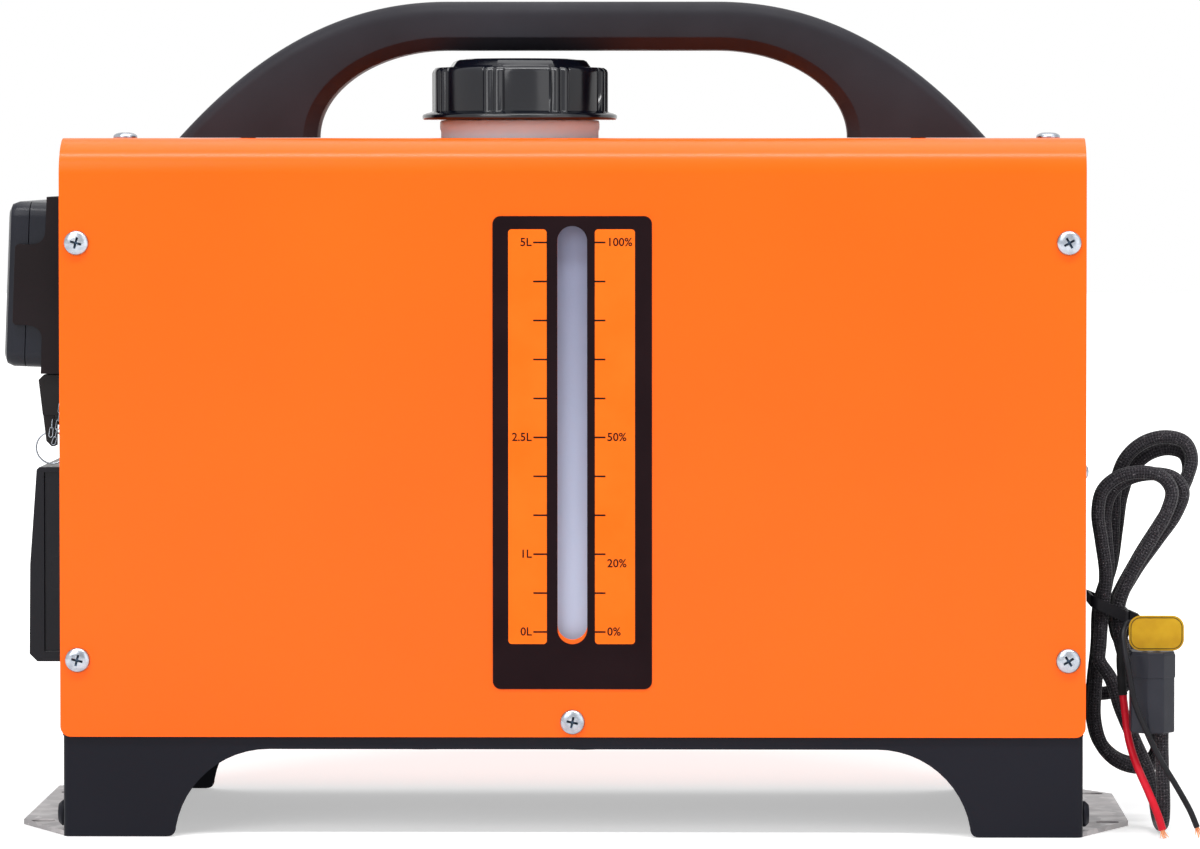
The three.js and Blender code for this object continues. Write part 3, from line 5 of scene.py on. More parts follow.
import bmesh
import bpy
import numpy as np
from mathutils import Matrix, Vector


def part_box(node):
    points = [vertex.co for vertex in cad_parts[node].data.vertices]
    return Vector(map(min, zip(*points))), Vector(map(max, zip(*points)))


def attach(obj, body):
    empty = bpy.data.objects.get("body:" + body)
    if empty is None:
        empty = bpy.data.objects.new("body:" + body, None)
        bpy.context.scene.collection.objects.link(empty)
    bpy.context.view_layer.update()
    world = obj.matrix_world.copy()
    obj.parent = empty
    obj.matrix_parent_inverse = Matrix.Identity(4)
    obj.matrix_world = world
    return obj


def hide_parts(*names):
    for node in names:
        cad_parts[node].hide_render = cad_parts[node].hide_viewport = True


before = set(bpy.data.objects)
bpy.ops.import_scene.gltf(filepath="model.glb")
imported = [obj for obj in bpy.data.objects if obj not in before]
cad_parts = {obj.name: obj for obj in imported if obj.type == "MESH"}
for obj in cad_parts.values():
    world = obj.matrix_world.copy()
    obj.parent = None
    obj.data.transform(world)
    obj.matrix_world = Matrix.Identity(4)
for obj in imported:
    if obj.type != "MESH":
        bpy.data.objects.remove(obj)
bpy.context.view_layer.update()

# ---------------- camera
# A long lens on a level stand, a little right of the middle and as high as the lid.
# Most of the framing is aim; a small shift keeps the case's uprights upright.
MM = 0.001
cover_low, cover_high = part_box("cover_shell")
CASE_MIDDLE = np.array([(cover_low.x + cover_high.x) / 2, (cover_low.y + cover_high.y) / 2, 0.0])


def placed(points):
    """Millimetres from the middle of the case, on the floor, as metres in the row frame."""
    return CASE_MIDDLE + np.asarray(points, float) * MM


camera_data = bpy.data.cameras.new("camera")
camera = bpy.data.objects.new("camera", camera_data)
bpy.context.scene.collection.objects.link(camera)
bpy.context.scene.camera = camera
camera_data.lens = 146.8
camera_data.sensor_width = 36.0
camera_data.shift_x = -0.064
camera_data.shift_y = -0.129
camera_data.clip_start = 0.05
camera_data.clip_end = 60.0
camera.location = Vector(placed([59.1, -1927.5, 261.4]))
camera.rotation_euler = (math.radians(90 - 1.4), 0.0, math.radians(0.6))

# ---------------- supply cord
# Two cores in a woven black sleeve, folded over itself into a hank and tied at the waist.
# It leaves the right end through a rubber boot and ends in the in-line fuse holder.
CORD, CORD_LENGTH = 5.4, 1.175
GLAND, GLAND_FACE = (-12.0, 48.6), 194.2
CORD_START = GLAND_FACE + 7.3
WAIST_X, WAIST_Z, WAIST_HALF = 207.0, 84.0, 3.0
BACK_LAYER, LAYER, BOW_STEPS = -19.5, 6.0, 12
FUSE = {"x": 220.8, "y": -66.0, "bottom": 39.7, "length": 31.0}
FUSE_TOP = FUSE["bottom"] + FUSE["length"]
CLEAR = 0.3
UPPER_LOOPS = [
    {"height": 61, "bulge": 26, "lean": 24},
    {"height": 66, "bulge": 31, "lean": 22.5},
    {"height": 52, "bulge": 33, "lean": 17},
    {"height": 53, "bulge": 31.5, "lean": 11.8},
]
LOWER_LOOP = {"height": 62, "bulge": 26, "lean": 11.5}


def unit(v):
    """Vectors divided by their own lengths."""
    return v / np.linalg.norm(v, axis=-1, keepdims=True)


def bow(loop, up, y0, y1):
    """Half a turn of the hank, t from 0 to 1 along it, with s = sin(pi t). x leans by lean s (s squared below) and
    swings by cos(pi t) (waist + bulge s squared); z rises or falls by height s; y moves to the next layer past the
    middle. A lower bow leaves out both ends, which the upper ones hold."""
    t = np.linspace(0, 1, BOW_STEPS + 1)[None if up else 1 : None if up else -1]
    way = 1 if up else -1
    s = np.sin(np.pi * t)
    k = np.clip((t - 0.5) / 0.5, 0, 1)
    swing = way * np.cos(np.pi * t) * (WAIST_HALF + loop["bulge"] * s * s)
    x = WAIST_X + loop["lean"] * (s if up else s * s) + swing
    return np.stack([x, y0 + (y1 - y0) * k * k * (3 - 2 * k), WAIST_Z + way * loop["height"] * s], 1).tolist()


hank = [
    [CORD_START, *GLAND], [CORD_START + CORD, *GLAND], [212.3, -12.3, 50.1], [216.2, -13.5, 54], [217.7, -15, 59.4],
    [216.9, -16.4, 63.5], [214.5, -17.7, 67.1], [211.2, -19, 72.1], [210, BACK_LAYER, 78],
]
for turn, loop in enumerate(UPPER_LOOPS):
    layer_y = BACK_LAYER - turn * LAYER
    hank += bow(loop, True, layer_y, layer_y)
    if turn < len(UPPER_LOOPS) - 1:
        hank += bow(LOWER_LOOP, False, layer_y, layer_y - LAYER)
FRONT_LAYER = BACK_LAYER - (len(UPPER_LOOPS) - 1) * LAYER
SPLIT = [WAIST_X - WAIST_HALF - 1.2, FRONT_LAYER - 1.6, WAIST_Z - 14]
hank += [[WAIST_X - WAIST_HALF - 0.6, FRONT_LAYER - 0.4, WAIST_Z - 6], SPLIT]
split_way = unit(np.array(SPLIT) - np.array(hank[-2]))
CORD_IN = FUSE["x"] + 3.6
tail = [
    (np.array(SPLIT) + split_way * CORD).tolist(), [206.8, -42.9, 57.5], [210.6, -44.2, 46], [216, -44.5, 33.5],
    [220.2, -44.6, 24], [223.2, -44.8, 15], [224.4, -47.8, 6.2], [225, -55.4, 3], [225.2, -63, 6.2],
    [225.1, FUSE["y"], 14.5], [CORD_IN + 0.3, FUSE["y"], 24], [CORD_IN, FUSE["y"], FUSE["bottom"] - CLEAR - CORD],
    [CORD_IN, FUSE["y"], FUSE["bottom"] - CLEAR],
]


def run_of(line):
    """The length run at each point of a line: the running sum of its steps."""
    return np.concatenate([[0], np.cumsum(np.linalg.norm(np.diff(line, axis=0), axis=1))])


def route(points, step):
    """A centripetal curve through the points, sampled every step millimetres. Each stretch is a cubic between two
    points whose end slopes weigh its neighbours by the root of their distance."""
    p = np.asarray(points, float)
    p = np.vstack([2 * p[0] - p[1], p, 2 * p[-1] - p[-2]])
    d = np.sqrt(np.linalg.norm(np.diff(p, axis=0), axis=1))[:, None]
    p0, p1, p2, p3 = p[:-3], p[1:-2], p[2:-1], p[3:]
    d0, d1, d2 = d[:-2], d[1:-1], d[2:]
    m1 = ((p1 - p0) / d0 - (p2 - p0) / (d0 + d1) + (p2 - p1) / d1) * d1
    m2 = ((p2 - p1) / d1 - (p3 - p1) / (d1 + d2) + (p3 - p2) / d2) * d1
    t = np.linspace(0, 1, 33)[None, :-1, None]
    h00, h10, h01, h11 = 2 * t**3 - 3 * t**2 + 1, t**3 - 2 * t**2 + t, 3 * t**2 - 2 * t**3, t**3 - t**2
    curve = h00 * p1[:, None] + h10 * m1[:, None] + h01 * p2[:, None] + h11 * m2[:, None]
    curve = np.vstack([curve.reshape(-1, 3), p2[-1:]])
    run = run_of(curve)
    even = np.linspace(0, run[-1], max(4, round(run[-1] / step)) + 1)
    return np.stack([np.interp(even, run, curve[:, k]) for k in range(3)], 1)


def quads(rows, cols, ring_rows=False):
    """Corner numbers of every square of a rows by cols grid whose columns close into a ring."""
    i, j = np.meshgrid(np.arange(rows if ring_rows else rows - 1), np.arange(cols), indexing="ij")
    below, right = (i + 1) % rows, (j + 1) % cols
    return np.stack([i * cols + j, i * cols + right, below * cols + right, below * cols + j], -1).reshape(-1, 4)


def lids(rows, cols):
    """The two many-sided faces that close the first and the last ring of such a grid."""
    return [list(range(cols)), list(range((rows - 1) * cols, rows * cols))]


def add_mesh(name, points, faces):
    """A new object at the origin with these points, in metres, and faces that look outwards."""
    mesh = bpy.data.meshes.new(name)
    mesh.from_pydata(np.asarray(points).reshape(-1, 3).tolist(), [], [list(map(int, f)) for f in faces])
    face_out(mesh)
    obj = bpy.data.objects.new(name, mesh)
    bpy.context.scene.collection.objects.link(obj)
    return obj


def face_out(mesh):
    """Merges doubles and turns every face of a closed mesh outwards."""
    work = bmesh.new()
    work.from_mesh(mesh)
    bmesh.ops.remove_doubles(work, verts=work.verts, dist=1e-7)
    bmesh.ops.recalc_face_normals(work, faces=work.faces)
    work.to_mesh(mesh)
    work.free()


def smooth(obj, sharp):
    """Shades a piece smooth but for edges sharper than this many degrees."""
    obj.data.polygons.foreach_set("use_smooth", np.ones(len(obj.data.polygons), bool))
    obj.data.set_sharp_from_angle(angle=math.radians(sharp))
    return obj


def tube(name, path, radius, sides):
    """A round tube: each ring is path + radius (cos a side + sin a up), its frame carried along without twist.
    Its UV map runs once round in u and by millimetres of length in v."""
    path = np.asarray(path, float)
    radius = np.broadcast_to(radius, len(path))
    along = unit(np.gradient(path, axis=0))
    side = np.zeros_like(path)
    side[0] = unit(np.cross(along[0], [0.3, 1.0, 0.2]))
    for k in range(1, len(path)):
        side[k] = unit(side[k - 1] - along[k] * (side[k - 1] @ along[k]))
    up = np.cross(along, side)
    a = np.linspace(0, 2 * np.pi, sides, endpoint=False)
    ring = np.cos(a)[None, :, None] * side[:, None] + np.sin(a)[None, :, None] * up[:, None]
    rows = len(path)
    grid = path[:, None] + radius[:, None, None] * ring
    obj = add_mesh(name, placed(grid.reshape(-1, 3)), quads(rows, sides).tolist() + lids(rows, sides))
    mesh = obj.data
    corner = np.zeros(len(mesh.loops), int)
    mesh.loops.foreach_get("vertex_index", corner)
    v = run_of(path)[np.clip(corner // sides, 0, rows - 1)]
    u = (corner % sides) / sides
    start = np.zeros(len(mesh.polygons), int)
    total = np.zeros(len(mesh.polygons), int)
    mesh.polygons.foreach_get("loop_start", start)
    mesh.polygons.foreach_get("loop_total", total)
    face = np.repeat(np.arange(len(start)), total)
    top = np.zeros(len(start))
    np.maximum.at(top, face, u)
    u = np.where((u == 0) & (top[face] > 0.6), 1.0, u)
    layer = mesh.uv_layers.new(name="length_map")
    layer.data.foreach_set("uv", np.stack([u, v / 100.0], 1).ravel())
    return smooth(obj, 50)


def colour(red, green, blue):
    """A colour given as it is seen on a screen, 0 to 255, as the linear one a shader takes."""
    seen = np.array([red, green, blue]) / 255.0
    linear = np.where(seen <= 0.04045, seen / 12.92, ((seen + 0.055) / 1.055) ** 2.4)
    return (*linear.tolist(), 1.0)


class NodeTree:
    """A tree of shader nodes and short ways to add to it."""

    def __init__(self, tree):
        self.tree = tree

    def feed(self, socket, value):
        """Joins a socket to the output that feeds it, or gives it its value."""
        if isinstance(value, bpy.types.NodeSocket):
            self.tree.links.new(value, socket)
        else:
            socket.default_value = value

    def add(self, kind, feeds, **settings):
        """A new node of this kind with its settings and what feeds its inputs; gives its outputs."""
        node = self.tree.nodes.new("ShaderNode" + kind)
        for key, value in settings.items():
            setattr(node, key, value)
        for key, value in feeds.items():
            self.feed(node.inputs[key], value)
        return node.outputs

    def reckon(self, operation, *values):
        """The result of one sum with these values."""
        return self.add("Math", dict(enumerate(values)), operation=operation)[0]

    def span(self, value, low, high, from_low=0.3, from_high=0.7):
        """A value between the two from levels, laid evenly over low to high."""
        feeds = {"Value": value, "From Min": from_low, "From Max": from_high, "To Min": low, "To Max": high}
        return self.add("MapRange", feeds)["Result"]

    def between(self, share, first, second):
        """A colour on the way from the first to the second, by this share."""
        return self.add("Mix", {0: share, 6: first, 7: second}, data_type="RGBA")[2]


class Finish(NodeTree):
    """A material being put together round its shader; its patterns read the piece's Object coordinates."""

    def __init__(self, name, roughness, metallic=0.0, **sockets):
        self.material = bpy.data.materials.new(name)
        self.material.use_nodes = True
        super().__init__(self.material.node_tree)
        self.shader = self.tree.nodes["Principled BSDF"].inputs
        gloss = {"roughness": roughness, "metallic": metallic, "specular_ior_level": 0.5 if metallic else 0.14}
        for key, value in {**gloss, **sockets}.items():
            self.shader[key.replace("_", " ").title().replace("Ior", "IOR")].default_value = value
        self.place = self.add("TexCoord", {})["Object"]

    def noise(self, per_metre, detail=3.0):
        """Soft random patches, about this many to the metre."""
        return self.add("TexNoise", {"Scale": per_metre, "Detail": detail, "Vector": self.place})["Fac"]

    def toned(self, low, high, patch_mm, detail=3.0):
        """Base colour drifts between two near tones in patches of this size."""
        share = self.span(self.noise(1000.0 / patch_mm, detail), 0, 1)
        self.feed(self.shader["Base Color"], self.between(share, colour(*low), colour(*high)))
        return self

    def rubbed(self, low, high, patch_mm):
        """Roughness drifts between two levels in patches of this size."""
        self.feed(self.shader["Roughness"], self.span(self.noise(1000.0 / patch_mm, 4.0), low, high))
        return self

    def bumped(self, height, depth_mm):
        """Shades the surface as if it rose by the height, 0 to 1, times this depth."""
        bump = self.add("Bump", {"Strength": 1.0, "Distance": depth_mm * MM, "Height": height})
        self.feed(self.shader["Normal"], bump["Normal"])
        return self

    def grained(self, per_metre, detail, depth_mm):
        """A surface that rises and falls by fine noise."""
        return self.bumped(self.noise(per_metre, detail), depth_mm)


def woven_sleeve():
    """Fine braid: the product of two sines that wind round the cord both ways; the cloth is painted darker between the
    threads and lighter on their crowns as painted shade and highlight, with painted glints as pale specks.
    """
    f = Finish("woven_sleeve", 0.8, sheen_weight=0.25, sheen_roughness=0.4)
    uv = f.add("UVMap", {}, uv_map="length_map")["UV"]
    threads = f.add("VectorMath", {0: uv, 1: (14.0, 90.0, 1.0)}, operation="MULTIPLY")[0]
    split = f.add("SeparateXYZ", {0: threads})
    ways = [f.reckon(operation, split["X"], split["Y"]) for operation in ("ADD", "SUBTRACT")]
    waves = [f.reckon("SINE", f.reckon("MULTIPLY", way, math.pi)) for way in ways]
    thread = f.span(f.reckon("MULTIPLY", *waves), 0, 1, -0.8, 0.8)
    # Pale specks: painted glints on the braid.
    painted_glint = f.span(f.noise(3200.0, 1.0), 0, 1, 0.66, 0.72)
    # Thread crowns lighter, hollows between threads darker: painted highlight and shade.
    cloth_painted_shade = f.between(thread, colour(22, 21, 24), colour(58, 55, 60))
    f.feed(f.shader["Base Color"], f.between(painted_glint, cloth_painted_shade, colour(150, 146, 150)))
    return f.bumped(thread, 0.18).material


def dress(obj, material, body="case"):
    """Gives a piece its material and the body it moves with."""
    obj.data.materials.clear()
    obj.data.materials.append(material)
    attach(obj, body)
    return obj


# The outermost bow is drawn in a little, more and more from PULL_FROM on, and the sleeve is a touch thinner
# than the cord's solid, so that the smooth tube keeps inside the solid's box.
PULL, PULL_FROM, PULL_OVER, SLEEVE_SHARE = 0.3, 232.0, 8.0, 0.985
cord_path = route(hank + tail, 1.2)
cord_path[:, 0] -= PULL * np.clip((cord_path[:, 0] - PULL_FROM) / PULL_OVER, 0, 1)
cord = tube("supply_cord", cord_path, CORD / 2 * SLEEVE_SHARE, 20)
dress(cord, woven_sleeve())
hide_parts("cord_hank", "cord_tail")

# ---------------- rubber boot of the cord
# A moulded rubber bush with a flange outside the panel and a short ribbed, tapering nose.
# It is pressed into the panel's hole and grips the sleeve.
ORDER = {"x": (2, 0, 1), "y": (0, 2, 1), "z": (0, 1, 2)}


def turned(name, profile, centre, axis, sides=64, ring=False):
    """A lathed piece: every (radius, height) of the profile goes round the axis, r cos a and r sin a across it."""
    r, h = np.asarray(profile, float).T
    a = np.linspace(0, 2 * np.pi, sides, endpoint=False)
    along = np.broadcast_to(h[:, None], (len(r), sides))
    grid = np.stack([np.outer(r, np.cos(a)), np.outer(r, np.sin(a)), along], -1)[..., ORDER[axis]]
    faces = quads(len(r), sides, ring).tolist() + ([] if ring else lids(len(r), sides))
    return add_mesh(name, placed(grid.reshape(-1, 3) + np.asarray(centre, float)), faces)


def applied(obj):
    """Makes a piece's modifiers part of its mesh."""
    mesh = bpy.data.meshes.new_from_object(obj.evaluated_get(bpy.context.evaluated_depsgraph_get()))
    obj.modifiers.clear()
    obj.data = mesh
    return obj


def eased(obj, edge_mm=0.0, segments=2, sharp=35.0):
    """Rounds a piece's hard edges by edge_mm, applies what modifiers it has and shades it smooth between them."""
    if edge_mm:
        bevel = obj.modifiers.new("edges", "BEVEL")
        bevel.width, bevel.segments = edge_mm * MM, segments
        bevel.limit_method, bevel.angle_limit = "ANGLE", math.radians(sharp)
        bevel.use_clamp_overlap = True
    smooth(applied(obj), sharp)
    if edge_mm:
        obj.modifiers.new("weigh", "WEIGHTED_NORMAL").keep_sharp = True
        applied(obj)
    return obj


def soft_rubber():
    """Matt black rubber with a fine, slightly dusty grain."""
    return Finish("soft_rubber", 0.8).toned((27, 27, 28), (36, 36, 38), 6.0).grained(5000.0, 2.0, 0.05).material


rubber = soft_rubber()
BUSH = {"bore": CORD / 2 + 0.05, "body": 4.9, "flange": 6.5, "nose": 4.3, "taper": 0.8, "groove": 0.5, "pitch": 1.2}
ribs = [(BUSH["nose"] - BUSH["taper"] * k / 3 - k % 2 * BUSH["groove"], 3.0 + k * BUSH["pitch"]) for k in range(4)]
bush_profile = [(BUSH["bore"], -6.0), (BUSH["body"], -6.0), (BUSH["body"], CLEAR), (BUSH["flange"], CLEAR),
                (BUSH["flange"], 3.0), *ribs, (BUSH["bore"], 6.9)]
bush = turned("cord_boot", bush_profile, (GLAND_FACE, *GLAND), "x", ring=True)
dress(eased(bush, 0.35), rubber)
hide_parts("cord_gland")

# ---------------- fuse holder
# A two-part moulded box round a blade fuse, with faceted sides and a seam where its lid closes.
# The sleeve enters it from below and two single wires leave at the top.


def frame_copy(name, node, edge_mm, segments=2, sharp=35.0):
    """A copy of a frame node's solid, its flat facets merged into whole faces and its edges rounded."""
    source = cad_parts[node]
    obj = bpy.data.objects.new(name, source.data.copy())
    bpy.context.scene.collection.objects.link(obj)
    work = bmesh.new()
    work.from_mesh(obj.data)
    bmesh.ops.remove_doubles(work, verts=work.verts, dist=2e-6)
    bmesh.ops.dissolve_limit(work, angle_limit=math.radians(0.6), verts=work.verts, edges=work.edges)
    work.to_mesh(obj.data)
    work.free()
    for layer in list(obj.data.uv_layers):
        obj.data.uv_layers.remove(layer)
    eased(obj, edge_mm, segments, sharp)
    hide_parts(node)
    return obj


def moulded(name, low=(22, 21, 25), high=(31, 30, 34), roughness=(0.42, 0.58), grain_mm=0.35, shine=0.14):
    """Black engineering plastic from a fine-eroded mould: slight tone drift, shallow grain, uneven sheen."""
    f = Finish(name, 0.5, specular_ior_level=shine).toned(low, high, 40.0).rubbed(*roughness, 25.0)
    return f.grained(1000.0 / grain_mm, 2.0, 0.03).material


black_moulded = moulded("moulded_plastic")
fuse_shell = moulded("fuse_plastic", (40, 41, 48), (60, 62, 70), (0.3, 0.45), 0.6)


def plate(name, outline, low, high, axis):
    """A flat piece: a closed outline drawn across the axis and carried from low to high along it."""
    outline = np.asarray(outline, float)
    n = len(outline)
    grid = [np.column_stack([outline, np.full(n, level)])[:, ORDER[axis]] for level in (low, high)]
    return add_mesh(name, placed(np.vstack(grid)), quads(2, n).tolist() + lids(2, n))


def round_box(width, height, radius, x=0.0, y=0.0, steps=8):
    """The outline of a rectangle with round corners: a quarter circle of radius at each corner in turn."""
    a = np.linspace(0, np.pi / 2, steps + 1)
    parts = []
    for quarter, (sx, sy) in enumerate(((1, 1), (-1, 1), (-1, -1), (1, -1))):
        b = a + quarter * np.pi / 2
        centre = np.array([x + sx * (width / 2 - radius), y + sy * (height / 2 - radius)])
        parts.append(centre + radius * np.stack([np.cos(b), np.sin(b)], -1))
    return np.vstack(parts)


FUSE_PLAN = np.array([(-8.4, 6.5), (-8.4, -2.6), (-2.0, -6.5), (3.6, -6.5), (8.4, -1.0), (8.4, 6.5)])
LID = {"share": 1.035, "rise": 21.0, "drop": 1.0}
fuse_place = [FUSE["x"], FUSE["y"]]
fuse_box = plate("fuse_box", FUSE_PLAN + fuse_place, FUSE["bottom"], FUSE_TOP, "z")
dress(eased(fuse_box, 0.7, 3, 20), fuse_shell)
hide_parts("fuse_holder")
lid_plan = FUSE_PLAN * LID["share"] + fuse_place
fuse_lid = plate("fuse_lid", lid_plan, FUSE["bottom"] + LID["rise"], FUSE_TOP - LID["drop"], "z")
dress(eased(fuse_lid, 0.4, 2, 20), fuse_shell)

# ---------------- supply wires
# Two single stranded wires, red for plus and black for minus, with a flag tag on the pair.
# Each has bare, slightly splayed copper at its end; the red one starts in a black sleeve.
RED, BLACK = 3.0, 2.5
WIRE_TOP = FUSE_TOP + CLEAR
red_points = [
    [FUSE["x"] + 1.6, FUSE["y"], WIRE_TOP], [FUSE["x"] + 1.6, FUSE["y"], WIRE_TOP + 3.2], [219.6, -63.2, 79.6],
    [214.8, -59, 81], [211.2, -56.6, 77], [209.6, -56, 68.5], [210, -56, 58], [211.2, -56.4, 46], [212.4, -59.5, 36],
    [215, -64.5, 27], [219, -69.5, 17.5], [222.6, -72, 8.5], [224.2, -72.6, 3.2],
]
black_points = [
    [FUSE["x"] - 3, FUSE["y"], WIRE_TOP], [FUSE["x"] - 3, FUSE["y"], WIRE_TOP + 3.2], [215.6, -65, 79],
    [211.6, -66, 81.5], [209.4, -69.4, 78.4], [209.8, -73, 71.5], [211.4, -75, 62], [213.2, -75.2, 52.5],
    [217.2, -75, 42.5], [222.4, -74.6, 31.5], [229.4, -74, 19.9], [234.6, -73.6, 10.6], [237.2, -73.4, 4.4],
]


def wire_jacket(name, low, high):
    """Smooth extruded PVC: near-even colour, soft gloss, faint draw lines along its length."""
    f = Finish(name, 0.32).toned(low, high, 15.0).rubbed(0.26, 0.42, 8.0)
    return f.grained(1500.0, 1.0, 0.03).material


def bare_copper():
    """Fresh drawn copper strands with a little tarnish."""
    return Finish("bare_copper", 0.3, 1.0).toned((214, 138, 96), (240, 178, 134), 1.5).rubbed(0.22, 0.4, 1.0).material


copper = bare_copper()


def joined(parts, name):
    """Several objects made one, under this name."""
    bpy.ops.object.select_all(action="DESELECT")
    for part in parts:
        part.select_set(True)
    bpy.context.view_layer.objects.active = parts[0]
    bpy.ops.object.join()
    parts[0].name = name
    return parts[0]


def strands(name, path, count, reach, spread, radius=0.19):
    """Bare strands that fan out of a wire's end: each follows the end's direction and drifts off by its own angle."""
    tip, way = path[-1], unit(path[-1] - path[-4])
    side = unit(np.cross(way, [0, 1, 0]))
    up = np.cross(way, side)
    t = np.linspace(0, 1, 7)[:, None]
    parts = []
    for k in range(count):
        a = 2 * np.pi * k / count
        off = (np.cos(a) * side + np.sin(a) * up) * (0.62 if k else 0.0)
        bend = off * (0.8 + spread * (1 + 0.5 * np.sin(3 * a)) * t**2)
        line = tip - way * 1.5 + bend + way * (1.5 + reach * (0.75 + 0.25 * np.cos(5 * a + 1))) * t
        line[:, 2] = np.maximum(line[:, 2], radius + 0.1)
        parts.append(tube(f"{name}_{k}", line, radius, 8))
    return joined(parts, name)


SNUG = 0.92
red_path = route(red_points, 0.8)
red = tube("red_wire_jacket", red_path, RED / 2, 20)
dress(red, wire_jacket("red_jacket", (188, 20, 38), (214, 34, 52)))
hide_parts("red_wire")
black_path = route(black_points, 0.8)
black = tube("black_wire_jacket", black_path, BLACK / 2 * SNUG, 20)
dress(black, wire_jacket("black_jacket", (22, 22, 25), (34, 34, 38)))
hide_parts("black_wire")
red_strands = dress(strands("red_wire_strands", red_path, 9, 4.6, 1.5), copper)
black_strands = dress(strands("black_wire_strands", black_path, 9, 4.2, 1.5), copper)
SLEEVED = 0.47
covered = red_path[: int(len(red_path) * SLEEVED)]
red_sleeve = dress(tube("red_wire_sleeve", covered[2:], RED / 2 + 0.22, 20), rubber)

# ---------------- flag tag and tie
# The tag is a folded strip of yellow film stuck round both wires; its round end stands out to the right.
# The tie is a toothed nylon strap pulled tight round the waist of the hank, its cut tail past the head.


def tag_film():
    """Yellow printed film with a thin darker border and a slightly wavy gloss."""
    f = Finish("tag_film", 0.35).toned((176, 132, 24), (198, 156, 34), 9.0).rubbed(0.28, 0.45, 6.0)
    return f.grained(220.0, 2.0, 0.25).material


TAG = {"x": FUSE["x"] + 1.3, "z": WIRE_TOP + 6.7, "width": 21.0, "height": 13.4, "y": FUSE["y"] - RED / 2 - CLEAR,
       "thick": 0.5, "round": 4.5, "margin": 0.8}
tag_face = TAG["y"] - TAG["thick"]
tag_plan = round_box(TAG["width"], TAG["height"], TAG["round"], TAG["x"], TAG["z"])
tag = plate("flag_tag", tag_plan, tag_face, TAG["y"], "y")
dress(eased(tag, 0.12), tag_film())
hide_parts("cord_tag")


def ring_line(name, path, radius, lift, sides=8):
    """A thin round bead along a closed flat path: each ring is path + radius (cos a side + sin a lift), with lift
    square to the path's plane."""
    side = np.cross(unit(np.roll(path, -1, 0) - np.roll(path, 1, 0)), lift)
    a = np.linspace(0, 2 * np.pi, sides, endpoint=False)
    ring = np.cos(a)[None, :, None] * side[:, None] + np.sin(a)[None, :, None] * np.asarray(lift, float)
    grid = path[:, None] + radius * ring
    return add_mesh(name, placed(grid.reshape(-1, 3)), quads(len(path), sides, True).tolist())


inset = 2 * TAG["margin"]
line = round_box(TAG["width"] - inset, TAG["height"] - inset, TAG["round"] - TAG["margin"], TAG["x"], TAG["z"])
border_path = np.column_stack([line[:, 0], np.full(len(line), tag_face), line[:, 1]])
border = eased(ring_line("flag_tag_border", border_path, 0.16, [0, 1, 0]))
dress(border, moulded("tag_ink", (70, 56, 20), (84, 68, 26), (0.4, 0.5), 0.5))
tie = frame_copy("cable_tie", "cord_tie", 0.25)
dress(tie, black_moulded)

# ---------------- base tray
# A pan folded from 1.5 mm steel, black powder coated. Its front and back skirts are cut to a flat arch
# that leaves a leg at each corner; the cover's lower edge laps over it.


def powder_coat(name, low, high, roughness, peel_mm=1.6, depth=0.02, gloss=0.0):
    """Baked powder coat: one even colour, soft orange-peel ripple and a little variation in gloss."""
    f = Finish(name, sum(roughness) / 2, specular_ior_level=0.12, coat_weight=gloss, coat_roughness=0.2)
    return f.toned(low, high, 120.0, 2.0).rubbed(*roughness, 60.0).grained(1000.0 / peel_mm, 2.0, depth).material


black_coat = powder_coat("black_powder_coat", (20, 21, 29), (25, 26, 34), (0.42, 0.52))
tray = frame_copy("base_tray_dressed", "base_tray", 0.45)
dress(tray, black_coat)

# ---------------- floor brackets
# Angles of 2 mm galvanised steel with two slots each, bolted to the tray's ends through black
# flange bolts. The corners towards the front are cut off at a slant.


def galvanised():
    """Hot-dip zinc on sheet: pale grey with small cloudy spangles and dull, uneven gloss."""
    f = Finish("galvanised", 0.42, 0.85)
    cells = f.span(f.add("TexVoronoi", {"Scale": 160.0, "Vector": f.place})["Color"], 0, 1, 0, 1)
    f.feed(f.shader["Base Color"], f.between(cells, colour(146, 142, 144), colour(188, 183, 183)))
    return f.rubbed(0.34, 0.52, 9.0).grained(900.0, 4.0, 0.03).material


zinc_sheet = galvanised()
for side in ("left", "right"):
    dress(frame_copy(f"floor_bracket_{side}", f"foot_bracket_{side}", 0.25), zinc_sheet)
    bolt = frame_copy(f"floor_bracket_bolt_{side}", f"bracket_bolt_{side}", 0.2, sharp=40)
    dress(bolt, black_coat)

# ---------------- end panels
# Shallow pans of 1.2 mm steel in the same black coat that close the cover's ends.
# The left one is cut out for the warm-air outlet, the right one has the intake grille.
for side in ("left", "right"):
    dress(frame_copy(f"end_panel_{side}", f"side_panel_{side}", 0.2), black_coat)

# ---------------- heater unit
# The works inside the case, seen only through the grille and the outlet: a two-part plastic housing
# round a finned cast exchanger, burner, motor, two fan wheels, board, pump and fuel lines.


def cast_metal():
    """Die-cast aluminium: grey, grainy, with darker flow patches."""
    f = Finish("cast_metal", 0.55, 0.8).toned((118, 119, 122), (158, 159, 161), 14.0).rubbed(0.45, 0.65, 10.0)
    return f.grained(1200.0, 4.0, 0.08).material


def bright_zinc():
    """Clear-passivated zinc plate: bright, cool grey-blue, with a soft brushed haze."""
    f = Finish("bright_zinc", 0.24, 1.0).toned((146, 153, 163), (184, 189, 197), 3.0).rubbed(0.18, 0.34, 2.5)
    return f.grained(2500.0, 2.0, 0.01).material


def lacquered_board():
    """Green solder lacquer with faint traces under it."""
    return Finish("lacquered_board", 0.35).toned((22, 84, 50), (38, 110, 66), 3.0).grained(900.0, 1.0, 0.04).material


